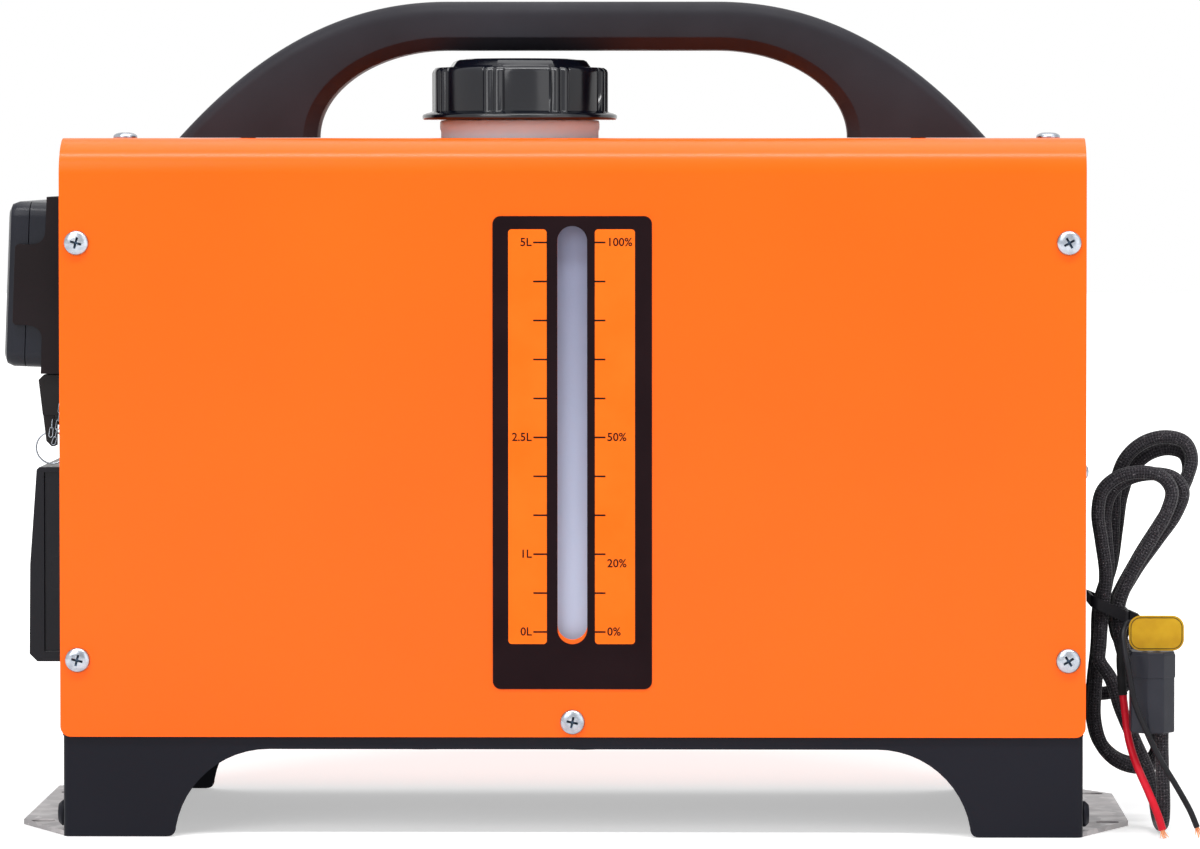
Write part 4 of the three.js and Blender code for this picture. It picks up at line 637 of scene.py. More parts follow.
zinc = bright_zinc()
for material, inner_nodes in (
    (black_moulded, ("heater_lower_case", "heater_upper_case", "hot_air_fan", "intake_stub", "fuel_tap")),
    (cast_metal(), ("heat_exchanger", "combustion_fan")),
    (zinc_sheet, ("burner_tube", "blower_motor", "exhaust_stub", "fuel_line", "pump_body")),
    (zinc, ("glow_plug", "pump_plunger", "handle_bolt_left", "handle_bolt_right")),
    (rubber, ("fuel_hose", "pump_mount", "cap_gasket")),
    (lacquered_board(), ("control_board",)),
):
    for node in inner_nodes:
        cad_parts[node].data.materials.clear()
        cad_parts[node].data.materials.append(material)

# ---------------- fuel tank
# Blow-moulded natural polyethylene: milky and a little see-through, with a round neck and its bead.
# Its narrow sight column stands close behind the cover's slot and shows the level.


CLOUD = 0.03


def milky_plastic(name, foot, head, foot_z, head_z):
    """Natural polyethylene: milky, light passes a little way in; cloudy, its tone going from foot to head colour
    between two heights in metres; on the tank the darker head colour is painted shade towards the top."""
    f = Finish(name, 0.42, subsurface_weight=0.15, subsurface_scale=0.004, subsurface_radius=(1.0, 1.0, 1.0))
    height = f.add("SeparateXYZ", {0: f.place})["Z"]
    cloud = f.reckon("MULTIPLY_ADD", f.noise(25.0, 3.0), CLOUD, height)
    rise = f.span(cloud, 0, 1, foot_z + CLOUD / 2, head_z + CLOUD / 2)
    f.feed(f.shader["Base Color"], f.between(rise, colour(*foot), colour(*head)))
    return f.rubbed(0.36, 0.5, 30.0).grained(700.0, 2.0, 0.05).material


# The tank's colour darkens towards the top as painted shade under the cover.
tank_plastic = milky_plastic("tank_plastic", (196, 210, 236), (146, 153, 180), 0.08, 0.22)
tank = frame_copy("milky_tank", "fuel_tank", 0.6, sharp=30)
dress(tank, tank_plastic)

# ---------------- tank cap
# A black gloss polypropylene screw cap: sloped flange, a skirt with eight wide shallow grips between
# pairs of round ribs, and a raised eight-sided crown.
CAP = {"x": -22.9, "bottom": 273.3, "flange": 38.3, "skirt": 35.65, "crown": 26.4, "inside": 29.1}
CAP_GRIPS, CAP_TURN = 8, math.radians(-82.9)
GRIP = {"share": 0.70, "depth": 1.6, "valley": 1.1, "ease": 0.04}


def gloss_black():
    """Polished black plastic: deep, even, with a faint ripple and a few dull patches from handling."""
    f = Finish("gloss_black", 0.2, specular_ior_level=0.5).toned((4, 6, 14), (8, 11, 21), 50.0)
    return f.rubbed(0.12, 0.2, 18.0).grained(260.0, 1.5, 0.03).material


def cap_surface():
    """The cap as rings from under the flange, out, up the skirt, over the crown, then down its inside. On the skirt the
    radius falls by the grip's depth over each grip; between grips two round ribs stand at full radius with a small
    valley. The crown is an eight-sided ring: its radius is the apothem over the cosine of the angle from the nearest
    side's middle. A level is radius, height, and how far the skirt's falls and the eight sides hold there."""
    a = np.linspace(0, 2 * np.pi, 480, endpoint=False)
    turn = (a - CAP_TURN) / (2 * np.pi) * CAP_GRIPS
    place = np.abs(turn - np.round(turn)) * 2
    in_grip = np.clip((GRIP["share"] - place) / GRIP["ease"], 0, 1)
    rib = np.abs(np.sin((place - GRIP["share"]) / (1 - GRIP["share"]) * np.pi))
    fall = np.where(place < GRIP["share"], GRIP["depth"] * in_grip, GRIP["valley"] * (1 - rib))
    eight = (a - CAP_TURN) % (np.pi / 4) - np.pi / 8
    side = np.cos(np.pi / 8) / np.cos((np.abs(eight) - np.pi / 8))
    flange, skirt, crown, inside = CAP["flange"], CAP["skirt"], CAP["crown"], CAP["inside"]
    outer = [
        (inside, 0, 0, 0), (flange - 0.4, 0, 0, 0), (flange, 0.4, 0, 0), (flange, 1.6, 0, 0), (flange - 0.4, 2.1, 0, 0),
        (skirt + 0.9, 2.6, 0, 0), (skirt + 0.2, 2.9, 0.3, 0), (skirt, 3.4, 1, 0), (skirt, 18.4, 1, 0),
        (skirt - 0.4, 19.5, 0.9, 0), (skirt - 1.6, 20.3, 0.5, 0), (skirt - 3.2, 20.5, 0, 0),
        (crown + 2.8, 20.6, 0, 0.9), (crown + 2.2, 21.4, 0, 1), (crown + 1.2, 22.8, 0, 1), (crown, 23.4, 0, 1),
        (crown - 3.0, 23.6, 0, 0.6), (crown - 5.0, 23.9, 0, 0), (1.0, 23.9, 0, 0),
    ]
    inner = [(1.0, 17.2, 0, 0), (inside - 0.6, 17.2, 0, 0), (inside, 16.6, 0, 0)]
    rows = []
    for radius, height, flute, eighth in outer + inner:
        r = (radius - flute * fall) * (1 - eighth + eighth * side)
        rows.append(np.stack([CAP["x"] + r * np.cos(a), r * np.sin(a), np.full_like(a, CAP["bottom"] + height)], -1))
    return np.stack(rows), len(outer)


cap_grid, outside = cap_surface()
cap_rows, around = cap_grid.shape[:2]
ring_faces = quads(cap_rows, around, True).reshape(cap_rows, around, 4)
walls = np.delete(ring_faces, outside - 1, 0).reshape(-1, 4).tolist()
crown_lids = [list(range(row * around, (row + 1) * around)) for row in (outside - 1, outside)]
screw_cap = add_mesh("screw_cap", placed(cap_grid.reshape(-1, 3)), walls + crown_lids)
dress(eased(screw_cap, sharp=50), gloss_black(), body="cap")
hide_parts("tank_cap")

# ---------------- cover
# One sheet of 1.2 mm steel, folded over the front, top and back with a round bend, in a smooth saturated
# orange powder coat of low ripple and some gloss.
# The gauge slot and the filler hole are punched; its lower corners are rounded.
SHEET, BEND, COVER_EDGE = 1.2, 14.0, 38.2
HALF_X, HALF_Y, TOP_Z = 195.0, 72.5, 266.0
SLOT = {"width": 11.3, "bottom": 75.4, "label_bottom": 73.7, "top": 232.6}


def cover_section(inset):
    """Up the front, a quarter circle of the bend, across the top, a quarter circle and down the back."""
    y, top, r = HALF_Y - inset, TOP_Z - inset, BEND - inset
    a = np.linspace(0, np.pi / 2, 25)
    front = np.stack([-y + r - r * np.cos(a), top - r + r * np.sin(a)], -1)
    back = np.stack([y - r + r * np.sin(a), top - r + r * np.cos(a)], -1)
    return np.vstack([[[-y, COVER_EDGE]], front, back, [[y, COVER_EDGE]]])


def folded_sheet(name):
    """The outer and the inner section side by side at each end of the case, joined into a closed sheet."""
    loop = np.vstack([cover_section(0), cover_section(SHEET)[::-1]])
    n = len(loop)
    ends = [np.insert(loop, 0, x, axis=1) for x in (-HALF_X, HALF_X)]
    k = np.arange(n // 2 - 1)
    rim = np.stack([k, k + 1, n - 2 - k, n - 1 - k], -1)
    return add_mesh(name, placed(np.vstack(ends)), [*quads(2, n).tolist(), *rim.tolist(), *(rim + n).tolist()])


def cut_with(obj, *cutters):
    """Takes the cutters out of a piece and removes them."""
    for cutter in cutters:
        change = obj.modifiers.new("cut", "BOOLEAN")
        change.operation, change.solver, change.object = "DIFFERENCE", "EXACT", cutter
    applied(obj)
    for cutter in cutters:
        bpy.data.objects.remove(cutter)
    return obj


def circle(x, radius, count):
    """A circle's outline round x on the case's middle line."""
    a = np.linspace(0, 2 * np.pi, count, endpoint=False)
    return np.stack([x + radius * np.cos(a), radius * np.sin(a)], -1)


def lower_corner(side):
    """What is left of a corner's square outside its quarter circle, carried through front and back."""
    r, past = 4.0, 2.0
    a = np.linspace(0, np.pi / 2, 13)
    x, z = side * (HALF_X - r), COVER_EDGE + r
    arc = np.stack([x + side * r * np.cos(a), z - r * np.sin(a)], -1)
    far_x, far_z = side * (HALF_X + past), COVER_EDGE - past
    return plate("corner_cutter", np.vstack([arc, [[x, far_z], [far_x, far_z], [far_x, z]]]), -90, 90, "y")


def slot_cutter(bottom):
    """The round-ended slot from this height to its top, carried through the front."""
    height, end = SLOT["top"] - bottom, SLOT["width"] / 2 - 0.001
    return plate("slot_cutter", round_box(SLOT["width"], height, end, 0, bottom + height / 2, 16), -90, -60, "y")


SINK = [(2.2, -4.0), (2.2, -2.4), (4.5, -0.1), (4.5, 1.0)]
SCREW_X, UPPER_SCREW_Z, LOWER_SCREW_Z = HALF_X - 6.7, 226.2, 67.5
corner_screws = [(x, z) for z in (UPPER_SCREW_Z, LOWER_SCREW_Z) for x in (-SCREW_X, SCREW_X)]
sinks = [turned("sink_cutter", SINK, (x, HALF_Y, z), "y", 48) for x, z in corner_screws]
filler_hole = plate("hole_cutter", circle(CAP["x"], 31.6, 96), 240, 290, "z")
cover = folded_sheet("cover_sheet")
cut_with(cover, slot_cutter(SLOT["bottom"]), filler_hole, lower_corner(-1), lower_corner(1), *sinks)
orange_coat = powder_coat("orange_powder_coat", (255, 98, 0), (255, 102, 0), (0.36, 0.44), 2.2, 0.012, 0.28)
dress(eased(cover, 0.3), orange_coat)
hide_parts("cover_shell")

# ---------------- gauge label
# A black polycarbonate film round the slot, stuck on the cover, with orange bands printed on it
# and a scale in litres and per cent in black.
LABEL_FACE = -HALF_Y - 0.05
LABEL = {"width": 60.5, "bottom": 56.6, "top": 236.4, "corner": 3.0, "thick": 0.4}
PRINT_FACE = LABEL_FACE - LABEL["thick"]
BANDS, BAND_Z = {"left": (-24.3, -9.7), "right": (8.6, 23.8)}, (73.8, 231.4)
TICKS = {"left": (-14.8, -9.2), "right": (8.1, 12.6)}
TICK_TOP, TICK_PITCH, TICK_COUNT, TICK_THICK = 226.4, 14.8, 11, 0.62
INK = 0.06


def printed_film(name, low, high):
    """Screen-printed film with a very fine pebble and slightly uneven ink."""
    f = Finish(name, 0.45, specular_ior_level=0.07).toned(low, high, 20.0).rubbed(0.38, 0.5, 12.0)
    return f.grained(2600.0, 1.0, 0.012).material


BOX = np.array([[0, 1, 2, 3], [4, 5, 6, 7], [0, 1, 5, 4], [1, 2, 6, 5], [2, 3, 7, 6], [3, 0, 4, 7]])


def bar_row(name, x0, x1, z, thick, y0, y1):
    """Level bars of one length as one mesh of closed boxes, one at each height z."""
    corners = np.array([[x0, y0, -0.5], [x1, y0, -0.5], [x1, y1, -0.5], [x0, y1, -0.5]])
    points = np.vstack([corners, corners * [1, 1, -1]]) * [1, 1, thick] + z[:, None, None] * [0, 0, 1]
    faces = (BOX[None] + 8 * np.arange(len(z))[:, None, None]).reshape(-1, 4)
    return add_mesh(name, placed(points.reshape(-1, 3)), faces)


label_height = LABEL["top"] - LABEL["bottom"]
label_plan = round_box(LABEL["width"], label_height, LABEL["corner"], 0, LABEL["bottom"] + label_height / 2)
film = cut_with(plate("label_film", label_plan, PRINT_FACE, LABEL_FACE, "y"), slot_cutter(SLOT["label_bottom"]))
label_ink = printed_film("label_black", (20, 6, 10), (26, 11, 15))
dress(eased(film, 0.08), label_ink)
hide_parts("gauge_label")
band_ink = printed_film("label_orange", (252, 110, 24), (255, 116, 30))
for side, (x0, x1) in BANDS.items():
    outline = round_box(x1 - x0, BAND_Z[1] - BAND_Z[0], 1.3, (x0 + x1) / 2, sum(BAND_Z) / 2)
    band = plate(f"label_band_{side}", outline, PRINT_FACE - INK, PRINT_FACE + 0.1, "y")
    dress(eased(band), band_ink)
tick_z = TICK_TOP - TICK_PITCH * np.arange(TICK_COUNT)
for side, (x0, x1) in TICKS.items():
    ticks = bar_row(f"label_ticks_{side}", x0, x1, tick_z, TICK_THICK, PRINT_FACE - 2 * INK, PRINT_FACE + 0.1)
    dress(eased(ticks), label_ink)


def figures(name, text, x, z, height, align):
    """Raised ink figures: text made a mesh, stood upright facing the front, its middle at height z."""
    curve = bpy.data.curves.new(name, "FONT")
    curve.body, curve.size, curve.extrude = text, height * MM / 0.7, 0.5 * INK * MM
    curve.align_x, curve.align_y, curve.offset, curve.resolution_u = align, "CENTER", 0.05 * MM, 3
    made = bpy.data.objects.new(name, curve)
    bpy.context.scene.collection.objects.link(made)
    bpy.context.view_layer.update()
    mesh = bpy.data.meshes.new_from_object(made.evaluated_get(bpy.context.evaluated_depsgraph_get()))
    bpy.data.objects.remove(made)
    co = np.zeros(len(mesh.vertices) * 3)
    mesh.vertices.foreach_get("co", co)
    upright = co.reshape(-1, 3)[:, [0, 2, 1]] * [1, -1, 1] + placed([x, PRINT_FACE - 1.5 * INK, z])
    mesh.vertices.foreach_set("co", upright.ravel())
    face_out(mesh)
    obj = bpy.data.objects.new(name, mesh)
    bpy.context.scene.collection.objects.link(obj)
    return obj


FIGURE, LITRES_X, SHARE_X = 3.1, -15.4, 13.2
for litres, share, tick, lower in (("5L", 100, 0, 0), ("2.5L", 50, 5, 0), ("1L", 20, 8, 3.6), ("0L", 0, 10, 0)):
    z = TICK_TOP - TICK_PITCH * tick
    for name, text, x, down, align in (("litres", litres, LITRES_X, 0, "RIGHT"),
                                       ("share", f"{share}%", SHARE_X, lower, "LEFT")):
        dress(figures(f"label_{name}_{share}", text, x, z - down, FIGURE, align), label_ink)

# ---------------- pan-head screws
# M4 screws in bright zinc with a cross recess. Five pan heads hold the front and one stands near each
# end of the cover's top; the back has four flat heads, countersunk flush. The recess is struck, its walls painted
# darker as shade.
HEAD = {"radius": 4.7, "height": 2.3, "flat": 1.2, "rim": 0.7}
FLAT_HEAD = [(1.9, -6.0), (1.9, -2.5), (4.3, -0.3), (4.3, 0.0)]
CROSS = {"arm": 2.7, "foot": 1.0, "width": 1.0, "depth": 1.5}


def pan_profile(shank):
    """Shank, flat seat, then a crown: a quarter ellipse from the rim in to a small flat."""
    a = np.linspace(0, np.pi / 2, 9)
    flat, rim = HEAD["flat"], HEAD["rim"]
    crown = np.stack([flat + (HEAD["radius"] - flat) * np.cos(a), rim + (HEAD["height"] - rim) * np.sin(a)], -1)
    return np.vstack([[[1.9, -shank], [1.9, 0.0], [HEAD["radius"], 0.0]], crown])


def cross_screw(name, profile, centre, axis, way, twist):
    """A lathed screw with a cross of two tapered slots struck in its head; way is the side that its head faces."""
    profile = np.asarray(profile, float)
    crest = profile[:, 1].max()
    head = turned(name, profile * [1, way], centre, axis, 48)
    cutters = []
    for b in (twist, twist + np.pi / 2):
        arm = np.array([np.cos(b), np.sin(b)])
        cross = np.array([-arm[1], arm[0]]) * CROSS["width"]
        flat = [s * arm * reach + c * cross * half for reach, half in ((CROSS["arm"], 0.5), (CROSS["foot"], 0.25))
                for s, c in ((1, 1), (-1, 1), (-1, -1), (1, -1))]
        level = np.repeat([crest + 0.5, crest - CROSS["depth"]], 4) * way
        points = np.column_stack([flat, level])[:, ORDER[axis]] + np.asarray(centre, float)
        cutters.append(add_mesh("cross_cutter", placed(points), BOX))
    return eased(cut_with(head, *cutters), 0.12, 2, 40)


def painted_recess_shade():
    """Painted shade for the walls of a struck recess: darker, bluish zinc where the head shades itself."""
    return Finish("painted_recess_shade", 0.45, 1.0).toned((46, 62, 82), (84, 100, 118), 0.8).material


recess_shade = painted_recess_shade()


def mark_recess(head, centre, axis, way, flat):
    """Gives the painted recess shade to the faces that lie under the head's surface: for a pan head at radius r lower
    than the rim plus the crown's height times the root of one less the share of r squared, for a flat one lower than 0."""
    count = len(head.data.polygons)
    middle = np.zeros(count * 3)
    head.data.polygons.foreach_get("center", middle)
    off = (middle.reshape(-1, 3) - placed(centre)) / MM
    k = "xyz".index(axis)
    height = off[:, k] * way
    r = np.linalg.norm(np.delete(off, k, 1), axis=1)
    share = np.clip((r - HEAD["flat"]) / (HEAD["radius"] - HEAD["flat"]), 0, 1)
    crown = HEAD["rim"] + (HEAD["height"] - HEAD["rim"]) * np.sqrt(1 - share**2)
    surface, seat = (0.0, -2.0) if flat else (crown, 0.2)
    # Faces inside the recess take the painted shade material.
    below = (r < CROSS["arm"] + 0.4) & (height > seat) & (height < surface - 0.1)
    head.data.materials.append(recess_shade)
    head.data.polygons.foreach_set("material_index", below.astype(np.int32))


def fit_screw(name, profile, spot, axis, way, twist, flat=False):
    """A zinc screw with its recess at this spot."""
    screw = dress(cross_screw(name, profile, spot, axis, way, twist), zinc)
    mark_recess(screw, spot, axis, way, flat)
    return screw


for i, (x, z) in enumerate([*corner_screws, (0.0, 44.1)], 1):
    screw = fit_screw(f"front_screw_{i}", pan_profile(6.8), (x, LABEL_FACE, z), "y", -1, 0.5 + 0.8 * i)
    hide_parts(f"cover_screw_{i}")
for i, (x, z) in enumerate(corner_screws, 1):
    fit_screw(f"back_screw_{i}", FLAT_HEAD, (x, HALF_Y - 0.05, z), "y", 1, 0.2 + 0.7 * i, True)
for i, x in enumerate((-178.5, 185.0), 1):
    fit_screw(f"top_screw_{i}", pan_profile(3.0), (x, 0, TOP_Z + 0.05), "z", 1, 0.9 * i)

# ---------------- filler neck
# The tank's round neck, from the tank's roof through the cover's hole to the seal in the cap.
# Its bead rests over the cover; a shallow thread runs round the upper half, under the cap.
TANK_ROOF = 259.4
NECK_OUTLINE = [
    (24.0, 288.2), (24.0, 256.6), (31.0, 256.6), (31.0, 268.9), (31.35, 269.6), (31.4, 271.0), (31.35, 272.3),
    (31.0, 273.0), (28.5, 273.3), (28.5, 276.4), (28.85, 277.0), (28.85, 277.6), (28.5, 278.2), (28.5, 280.4),
    (28.85, 281.0), (28.85, 281.6), (28.5, 282.2), (28.5, 287.9), (28.2, 288.2),
]
above_roof = plate("roof_cutter", round_box(80, 80, 4, CAP["x"], 0), TANK_ROOF, 292, "z")
cut_with(tank, above_roof)
smooth(tank, 35).data.materials.clear()
tank.data.materials.append(tank_plastic)
neck = turned("filler_neck", NECK_OUTLINE, (CAP["x"], 0, 0), "z", 128, ring=True)
neck_plastic = milky_plastic("neck_plastic", (226, 240, 252), (206, 240, 255), 0.26, 0.29)
dress(eased(neck), neck_plastic)

# ---------------- carrying arch
# One hollow moulding in black nylon with a flat grip and feet that flare out along the cover.
# It is held by two bolts from under the cover; all its long edges are well rounded.
ARCH = {"x": 2.0, "foot": 266.3, "top": 319.5, "under": 300.6, "outer": 158.0, "inner": 104.0, "flat": 52.93,
        "half_depth": 16.5, "round": 6.0, "chamfer": (8.5, 5.0), "bolts": (-130.0, 134.0)}


def bezier(a, b, c, d):
    """A cubic through a and d with b and c as its handles."""
    t = np.linspace(0, 1, 41)[:, None]
    a, b, c, d = (np.asarray(p, float) for p in (a, b, c, d))
    return (1 - t) ** 3 * a + 3 * (1 - t) ** 2 * t * b + 3 * (1 - t) * t * t * c + t**3 * d


def arch_sides():
    """The outer and the inner line of the arch in X and Z, from the left foot to the right one, point for point."""
    foot, top, under, flat = ARCH["foot"], ARCH["top"], ARCH["under"], ARCH["flat"]
    outer, inner, rise = ARCH["outer"], ARCH["inner"], top - foot
    over = bezier((-outer, foot), (-outer + rise * 0.55, foot + rise * 0.61), (-flat - rise * 0.8, top), (-flat, top))
    below = bezier((-inner, foot), (-inner, foot + rise * 0.36), (-flat - rise * 0.52, under), (-flat, under))
    return [np.vstack([half, half[::-1] * [-1, 1]]) for half in (over, below)]


def arch_section(height):
    """Across the arch: full quarter rounds at the outer edges, a slanting face with eased ends at the inner ones."""
    half, (reach, rise) = ARCH["half_depth"], ARCH["chamfer"]
    a = np.linspace(0, np.pi / 2, 9)
    r = ARCH["round"]
    arc = np.stack([half - r + r * np.cos(a), height - r + r * np.sin(a)], -1)
    slant = [[half - reach - 1.2, 0.0], [half - reach, 0.1], [half - 0.25, rise - 0.2], [half, rise + 0.5]]
    right = np.vstack([slant, arc])
    return np.vstack([right, right[::-1] * [-1, 1]])


def carrying_arch(name):
    """A loft: at each station the arch's section, as high as the gap between its two lines, stands across
    from the inner point to the outer point."""
    outer_line, inner_line = arch_sides()
    rows = []
    for start, end, height in zip(inner_line, outer_line, np.linalg.norm(outer_line - inner_line, axis=1)):
        section = arch_section(height)
        xz = start + (end - start) * section[:, 1:] / height
        rows.append(np.column_stack([ARCH["x"] + xz[:, 0], section[:, 0], xz[:, 1]]))
    n = len(rows[0])
    return add_mesh(name, placed(np.vstack(rows)), quads(len(rows), n).tolist() + lids(len(rows), n))


bores = [plate("bolt_bore", circle(bolt_x, 3.4, 32), 260, 288.9, "z") for bolt_x in ARCH["bolts"]]
arch = cut_with(carrying_arch("carrying_arch_body"), *bores)
arch_plastic = moulded("arch_plastic", (34, 33, 38), (43, 42, 48), (0.45, 0.6), 0.45)
dress(eased(arch, sharp=24), arch_plastic)
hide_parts("handle")

# ---------------- warm-air outlet
# A moulded hood with a bevelled rim on the left end, three vanes that tilt in it and the bar
# that keeps them level with one another.
hood_plastic = moulded("hood_plastic", (14, 13, 20), (20, 19, 27), (0.24, 0.36), 0.5, 0.2)
dress(frame_copy("air_hood", "outlet_hood", 0.9, 3, 22), hood_plastic)
for i in (1, 2, 3):
    dress(frame_copy(f"air_vane_{i}", f"louvre_vane_{i}", 0.15, sharp=40), black_moulded, body=f"vane_{i}")
dress(frame_copy("vane_link", "louvre_link", 0.2, sharp=40), black_moulded, body="link")

# ---------------- controller
# A two-part black case with a dark window over its display and four keys, clipped between the
# ears of a moulded holder that leans it back a little on the left end.
controller_plastic = moulded("controller_plastic", (14, 16, 26), (21, 23, 34), (0.28, 0.4), 0.6, 0.25)
# The holder's reddish tint is a painted reflection of the orange cover on black plastic.
holder_plastic_painted_reflection = moulded("holder_plastic_painted_reflection", (20, 12, 14), (28, 19, 22), (0.4, 0.55), 0.5)
dress(frame_copy("wall_holder", "controller_holder", 0.5, 2, 30), holder_plastic_painted_reflection)
for name, node in (("controller_back", "controller_rear_shell"), ("controller_face", "controller_front_shell")):
    dress(frame_copy(name, node, 0.3, 2, 24), controller_plastic)


def dark_window():
    """Smoked acrylic with a hard coat: nearly black, very smooth, a faint blue cast."""
    f = Finish("dark_window", 0.06, coat_weight=0.6, coat_roughness=0.04).toned((12, 15, 22), (18, 22, 31), 30.0)
    return f.rubbed(0.05, 0.12, 12.0).material


def display_ink():
    """Pale blue-green segments under the window."""
    return Finish("display_ink", 0.4).toned((120, 156, 166), (138, 174, 182), 5.0).material


dress(frame_copy("display_window", "controller_lens", 0.2, 2, 30), dark_window())
FACE_LEAN = math.radians(2.1)
WINDOW_MIDDLE = np.array([-218.6, 0.0, 218.3])


def on_window(name, shapes):
    """Flat marks on the leaning window: each shape is (y, rise, width, height) from the window's middle, as a thin box
    whose corners go out along the lean's normal and up along the lean."""
    lean_up = np.array([math.sin(FACE_LEAN), 0.0, math.cos(FACE_LEAN)])
    out = np.array([-lean_up[2], 0.0, lean_up[0]])
    points = [WINDOW_MIDDLE + [0, -y + sy * width / 2, 0] + lean_up * (rise + sz * height / 2) + out * depth
              for y, rise, width, height in shapes for depth in (0.06, -0.1)
              for sy, sz in ((-1, -1), (1, -1), (1, 1), (-1, 1))]
    faces = (BOX[None] + 8 * np.arange(len(shapes))[:, None, None]).reshape(-1, 4)
    return add_mesh(name, placed(points), faces)


BAR, STROKE, STEP = 0.9, 4.6, 3.2
segments = []
for digit_y in (-9.5, 0.0, 9.5):
    segments += [(digit_y, level, STROKE, BAR) for level in (2 * STEP, 0.0, -2 * STEP)]
    segments += [(digit_y + side, level, BAR, 4.8) for side in (-2.9, 2.9) for level in (STEP, -STEP)]
segments += [(-24, 7.5, 7.0, 0.7), (-24, 4.5, 7.0, 0.7), (24, -7.5, 7.0, 0.7), (24, 7.5, 5.0, 0.7)]
dress(eased(on_window("display_segments", segments)), display_ink())
key_plastic = moulded("key_plastic", (52, 52, 58), (64, 64, 70), (0.4, 0.55), 0.4)
for i in (1, 2, 3, 4):
    dress(frame_copy(f"keypad_key_{i}", f"controller_button_{i}", 0.4, 3, 40), key_plastic, body=f"button_{i}")

# ---------------- remote fob
# A small black remote held under the controller, with four soft keys, a split ring through its lug
# and a thin chain of long links that hangs beside it.
fob_plastic = moulded("fob_plastic", (26, 23, 24), (35, 32, 33), (0.28, 0.42), 0.6)
dress(frame_copy("remote_case", "remote_fob", 0.8, 3, 24), fob_plastic)
FOB_FACE, FOB_LOW, FOB_LEAN = -202.9, 149.6, 2.8 / 23.6
KEY_OUTLINE = [(0.3, -0.55), (2.4, -0.5), (2.8, -0.3), (2.9, 0.9), (0.3, 0.9)]
for k, (key_y, key_z) in enumerate([(y, z) for y in (-33.0, -12.0) for z in (166.5, 156.5)], 1):
    surface = FOB_FACE - FOB_LEAN * (key_z - FOB_LOW)
    key = turned(f"remote_key_{k}", KEY_OUTLINE, (surface, key_y, key_z), "x", 40)
    dress(eased(key, sharp=40), rubber)
ring_low, ring_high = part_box("split_ring")
ring_middle = (np.array(ring_low) + np.array(ring_high)) / 2 / MM - CASE_MIDDLE / MM
RING_WIRE = 0.3
RING_RADIUS = (ring_high.x - ring_low.x) / 2 / MM - 0.4


def coil_ring(name):
    """A split ring: the wire runs twice round the circle, sliding across by its own thickness as it goes."""
    a = np.linspace(0, 4 * np.pi, 241)
    across = np.interp(a, [0, 1.6 * np.pi, 2.4 * np.pi, 4 * np.pi], [-RING_WIRE, -RING_WIRE, RING_WIRE, RING_WIRE])
    path = np.stack([RING_RADIUS * np.cos(a + 2.2), across, RING_RADIUS * np.sin(a + 2.2)], -1) + ring_middle
    return tube(name, path, RING_WIRE, 12)


key_ring = coil_ring("remote_ring")
dress(key_ring, zinc, body="ring")
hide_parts("split_ring")
LINK_LONG, LINK_WIDE, LINK_WIRE = 4.2, 1.7, 0.32


def chain_links(name, points):
    """Long oval links along a route, each turned a quarter from the last, one closed ring of wire per link. An oval is
    a circle of radius bend, cos a flat + sin a way, whose two halves stand apart along the way."""
    line = route(points, 0.3)
    run = run_of(line)
    pitch = LINK_LONG - 2 * LINK_WIRE - 0.25
    half, bend = (LINK_LONG - LINK_WIDE) / 2, (LINK_WIDE - LINK_WIRE) / 2
    a = np.linspace(0, 2 * np.pi, 24, endpoint=False)[:, None]
    links = []
    for k in range(int(run[-1] / pitch)):
        start, middle, end = (np.array([np.interp((k + s) * pitch, run, part) for part in line.T]) for s in (0, 0.5, 1))
        way = unit(end - start)
        flat = unit(np.cross(way, [0, 1, 0] if k % 2 else [1, 0, 0]))
        oval = middle + bend * np.cos(a) * flat + (bend * np.sin(a) + half * np.sign(np.sin(a) + 1e-9)) * way
        links.append(ring_line(f"link_{k}", oval, LINK_WIRE / 2, np.cross(way, flat)))
    return joined(links, name)


long_strand = [[-196.0, -53.6, 174.0], [-196.3, -54.4, 169.0], [-197.4, -54.5, 160.0], [-199.0, -54.0, 151.5],
               [-200.6, -51.5, 147.6]]
short_strand = [[-200.2, -53.2, 158.0], [-200.6, -54.0, 153.8], [-201.4, -52.5, 148.6]]
for name, points in (("fob_chain_long", long_strand), ("fob_chain_short", short_strand)):
    dress(eased(chain_links(name, points), sharp=60), zinc)

# ---------------- stud of the right end
# A small round-headed rivet of the inlet side, seen past the cover's edge.
stud_profile = [(1.4, -3.0), (1.4, 0.0), (2.9, 0.0), (2.9, 0.5), (2.5, 1.3), (1.6, 1.9), (0.3, 2.1)]
stud = turned("end_stud", stud_profile, (194.25, -66.0, 139.0), "x", 40)
dress(eased(stud, sharp=40), zinc)

# ---------------- floor and lamps
# A pale plain floor that keeps the shadow, a white surround, three large soft lamps and a strip above the front.


WHITE = (1, 1, 1, 1)


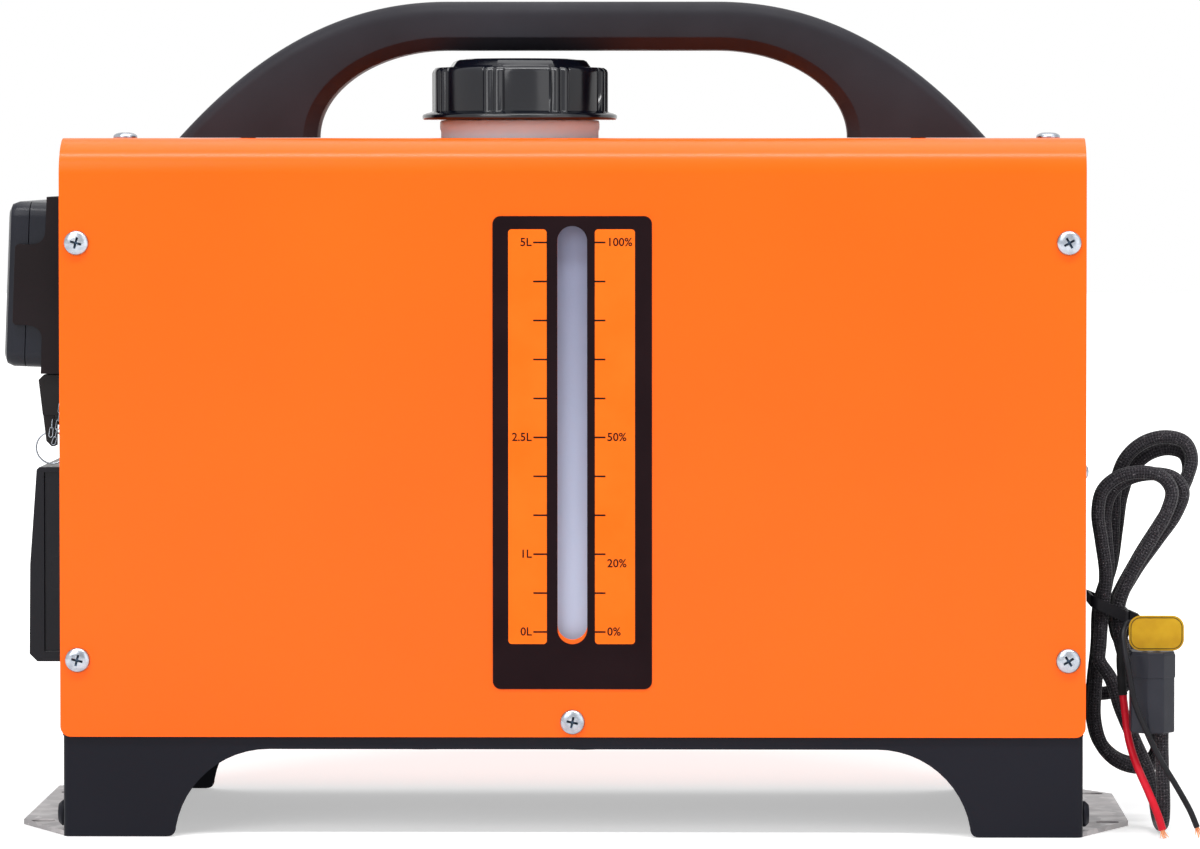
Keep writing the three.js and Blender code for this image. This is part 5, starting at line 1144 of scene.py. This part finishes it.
def studio_floor():
    """Pale floor: seen by the camera it is white but for the object's soft shadow. It gives off more of that white
    the farther it is from the object."""
    f = Finish("studio_floor", 0.9, specular_ior_level=0.0, base_color=(0.8, 0.8, 0.8, 1), emission_color=WHITE)
    rays = f.add("LightPath", {})
    seen = f.reckon("MAXIMUM", rays["Is Camera Ray"], rays["Is Glossy Ray"])
    reach = f.add("VectorMath", {0: f.place}, operation="LENGTH")["Value"]
    f.feed(f.shader["Emission Strength"], f.reckon("MULTIPLY", seen, f.span(reach, 0.45, 1.0, 0.35, 1.6)))
    return f.material


bpy.ops.mesh.primitive_plane_add(size=14.0, location=(0, 0, -0.0002))
floor = bpy.context.object
floor.name = "floor"
floor.data.materials.append(studio_floor())
world = bpy.data.worlds.new("surround")
bpy.context.scene.world = world
world.use_nodes = True
world.node_tree.nodes.clear()
surround = NodeTree(world.node_tree)
rays = surround.add("LightPath", {})
shown = surround.reckon("MAXIMUM", rays["Is Camera Ray"], rays["Is Transmission Ray"])
shown = surround.reckon("MAXIMUM", shown, rays["Is Glossy Ray"])
light = surround.add("Background", {"Color": WHITE, "Strength": surround.span(shown, 0.3, 1.0, 0.0, 1.0)})
surround.add("OutputWorld", {"Surface": light[0]})


def soft_lamp(name, place, aim, width, height, power):
    """A rectangular area lamp at a place, turned to face its aim."""
    data = bpy.data.lights.new(name, "AREA")
    data.shape, data.size, data.size_y, data.energy = "RECTANGLE", width, height, power
    lamp = bpy.data.objects.new(name, data)
    bpy.context.scene.collection.objects.link(lamp)
    lamp.location = place
    lamp.rotation_euler = (Vector(aim) - Vector(place)).to_track_quat("-Z", "Y").to_euler()
    return lamp


lamps = [
    soft_lamp("key_lamp", (-1.5, -2.7, 1.9), (0, 0, 0.15), 2.0, 2.0, 39),
    soft_lamp("fill_lamp", (2.3, -2.3, 1.1), (0, 0, 0.15), 2.4, 2.4, 21),
    soft_lamp("top_lamp", (0.1, 0.5, 2.6), (0, 0, 0.1), 2.0, 2.0, 26),
    soft_lamp("strip_lamp", (0, -1.0, 2.25), (0, 0, 0.25), 3.0, 0.22, 48),
]
bpy.context.scene.view_settings.view_transform = "Standard"
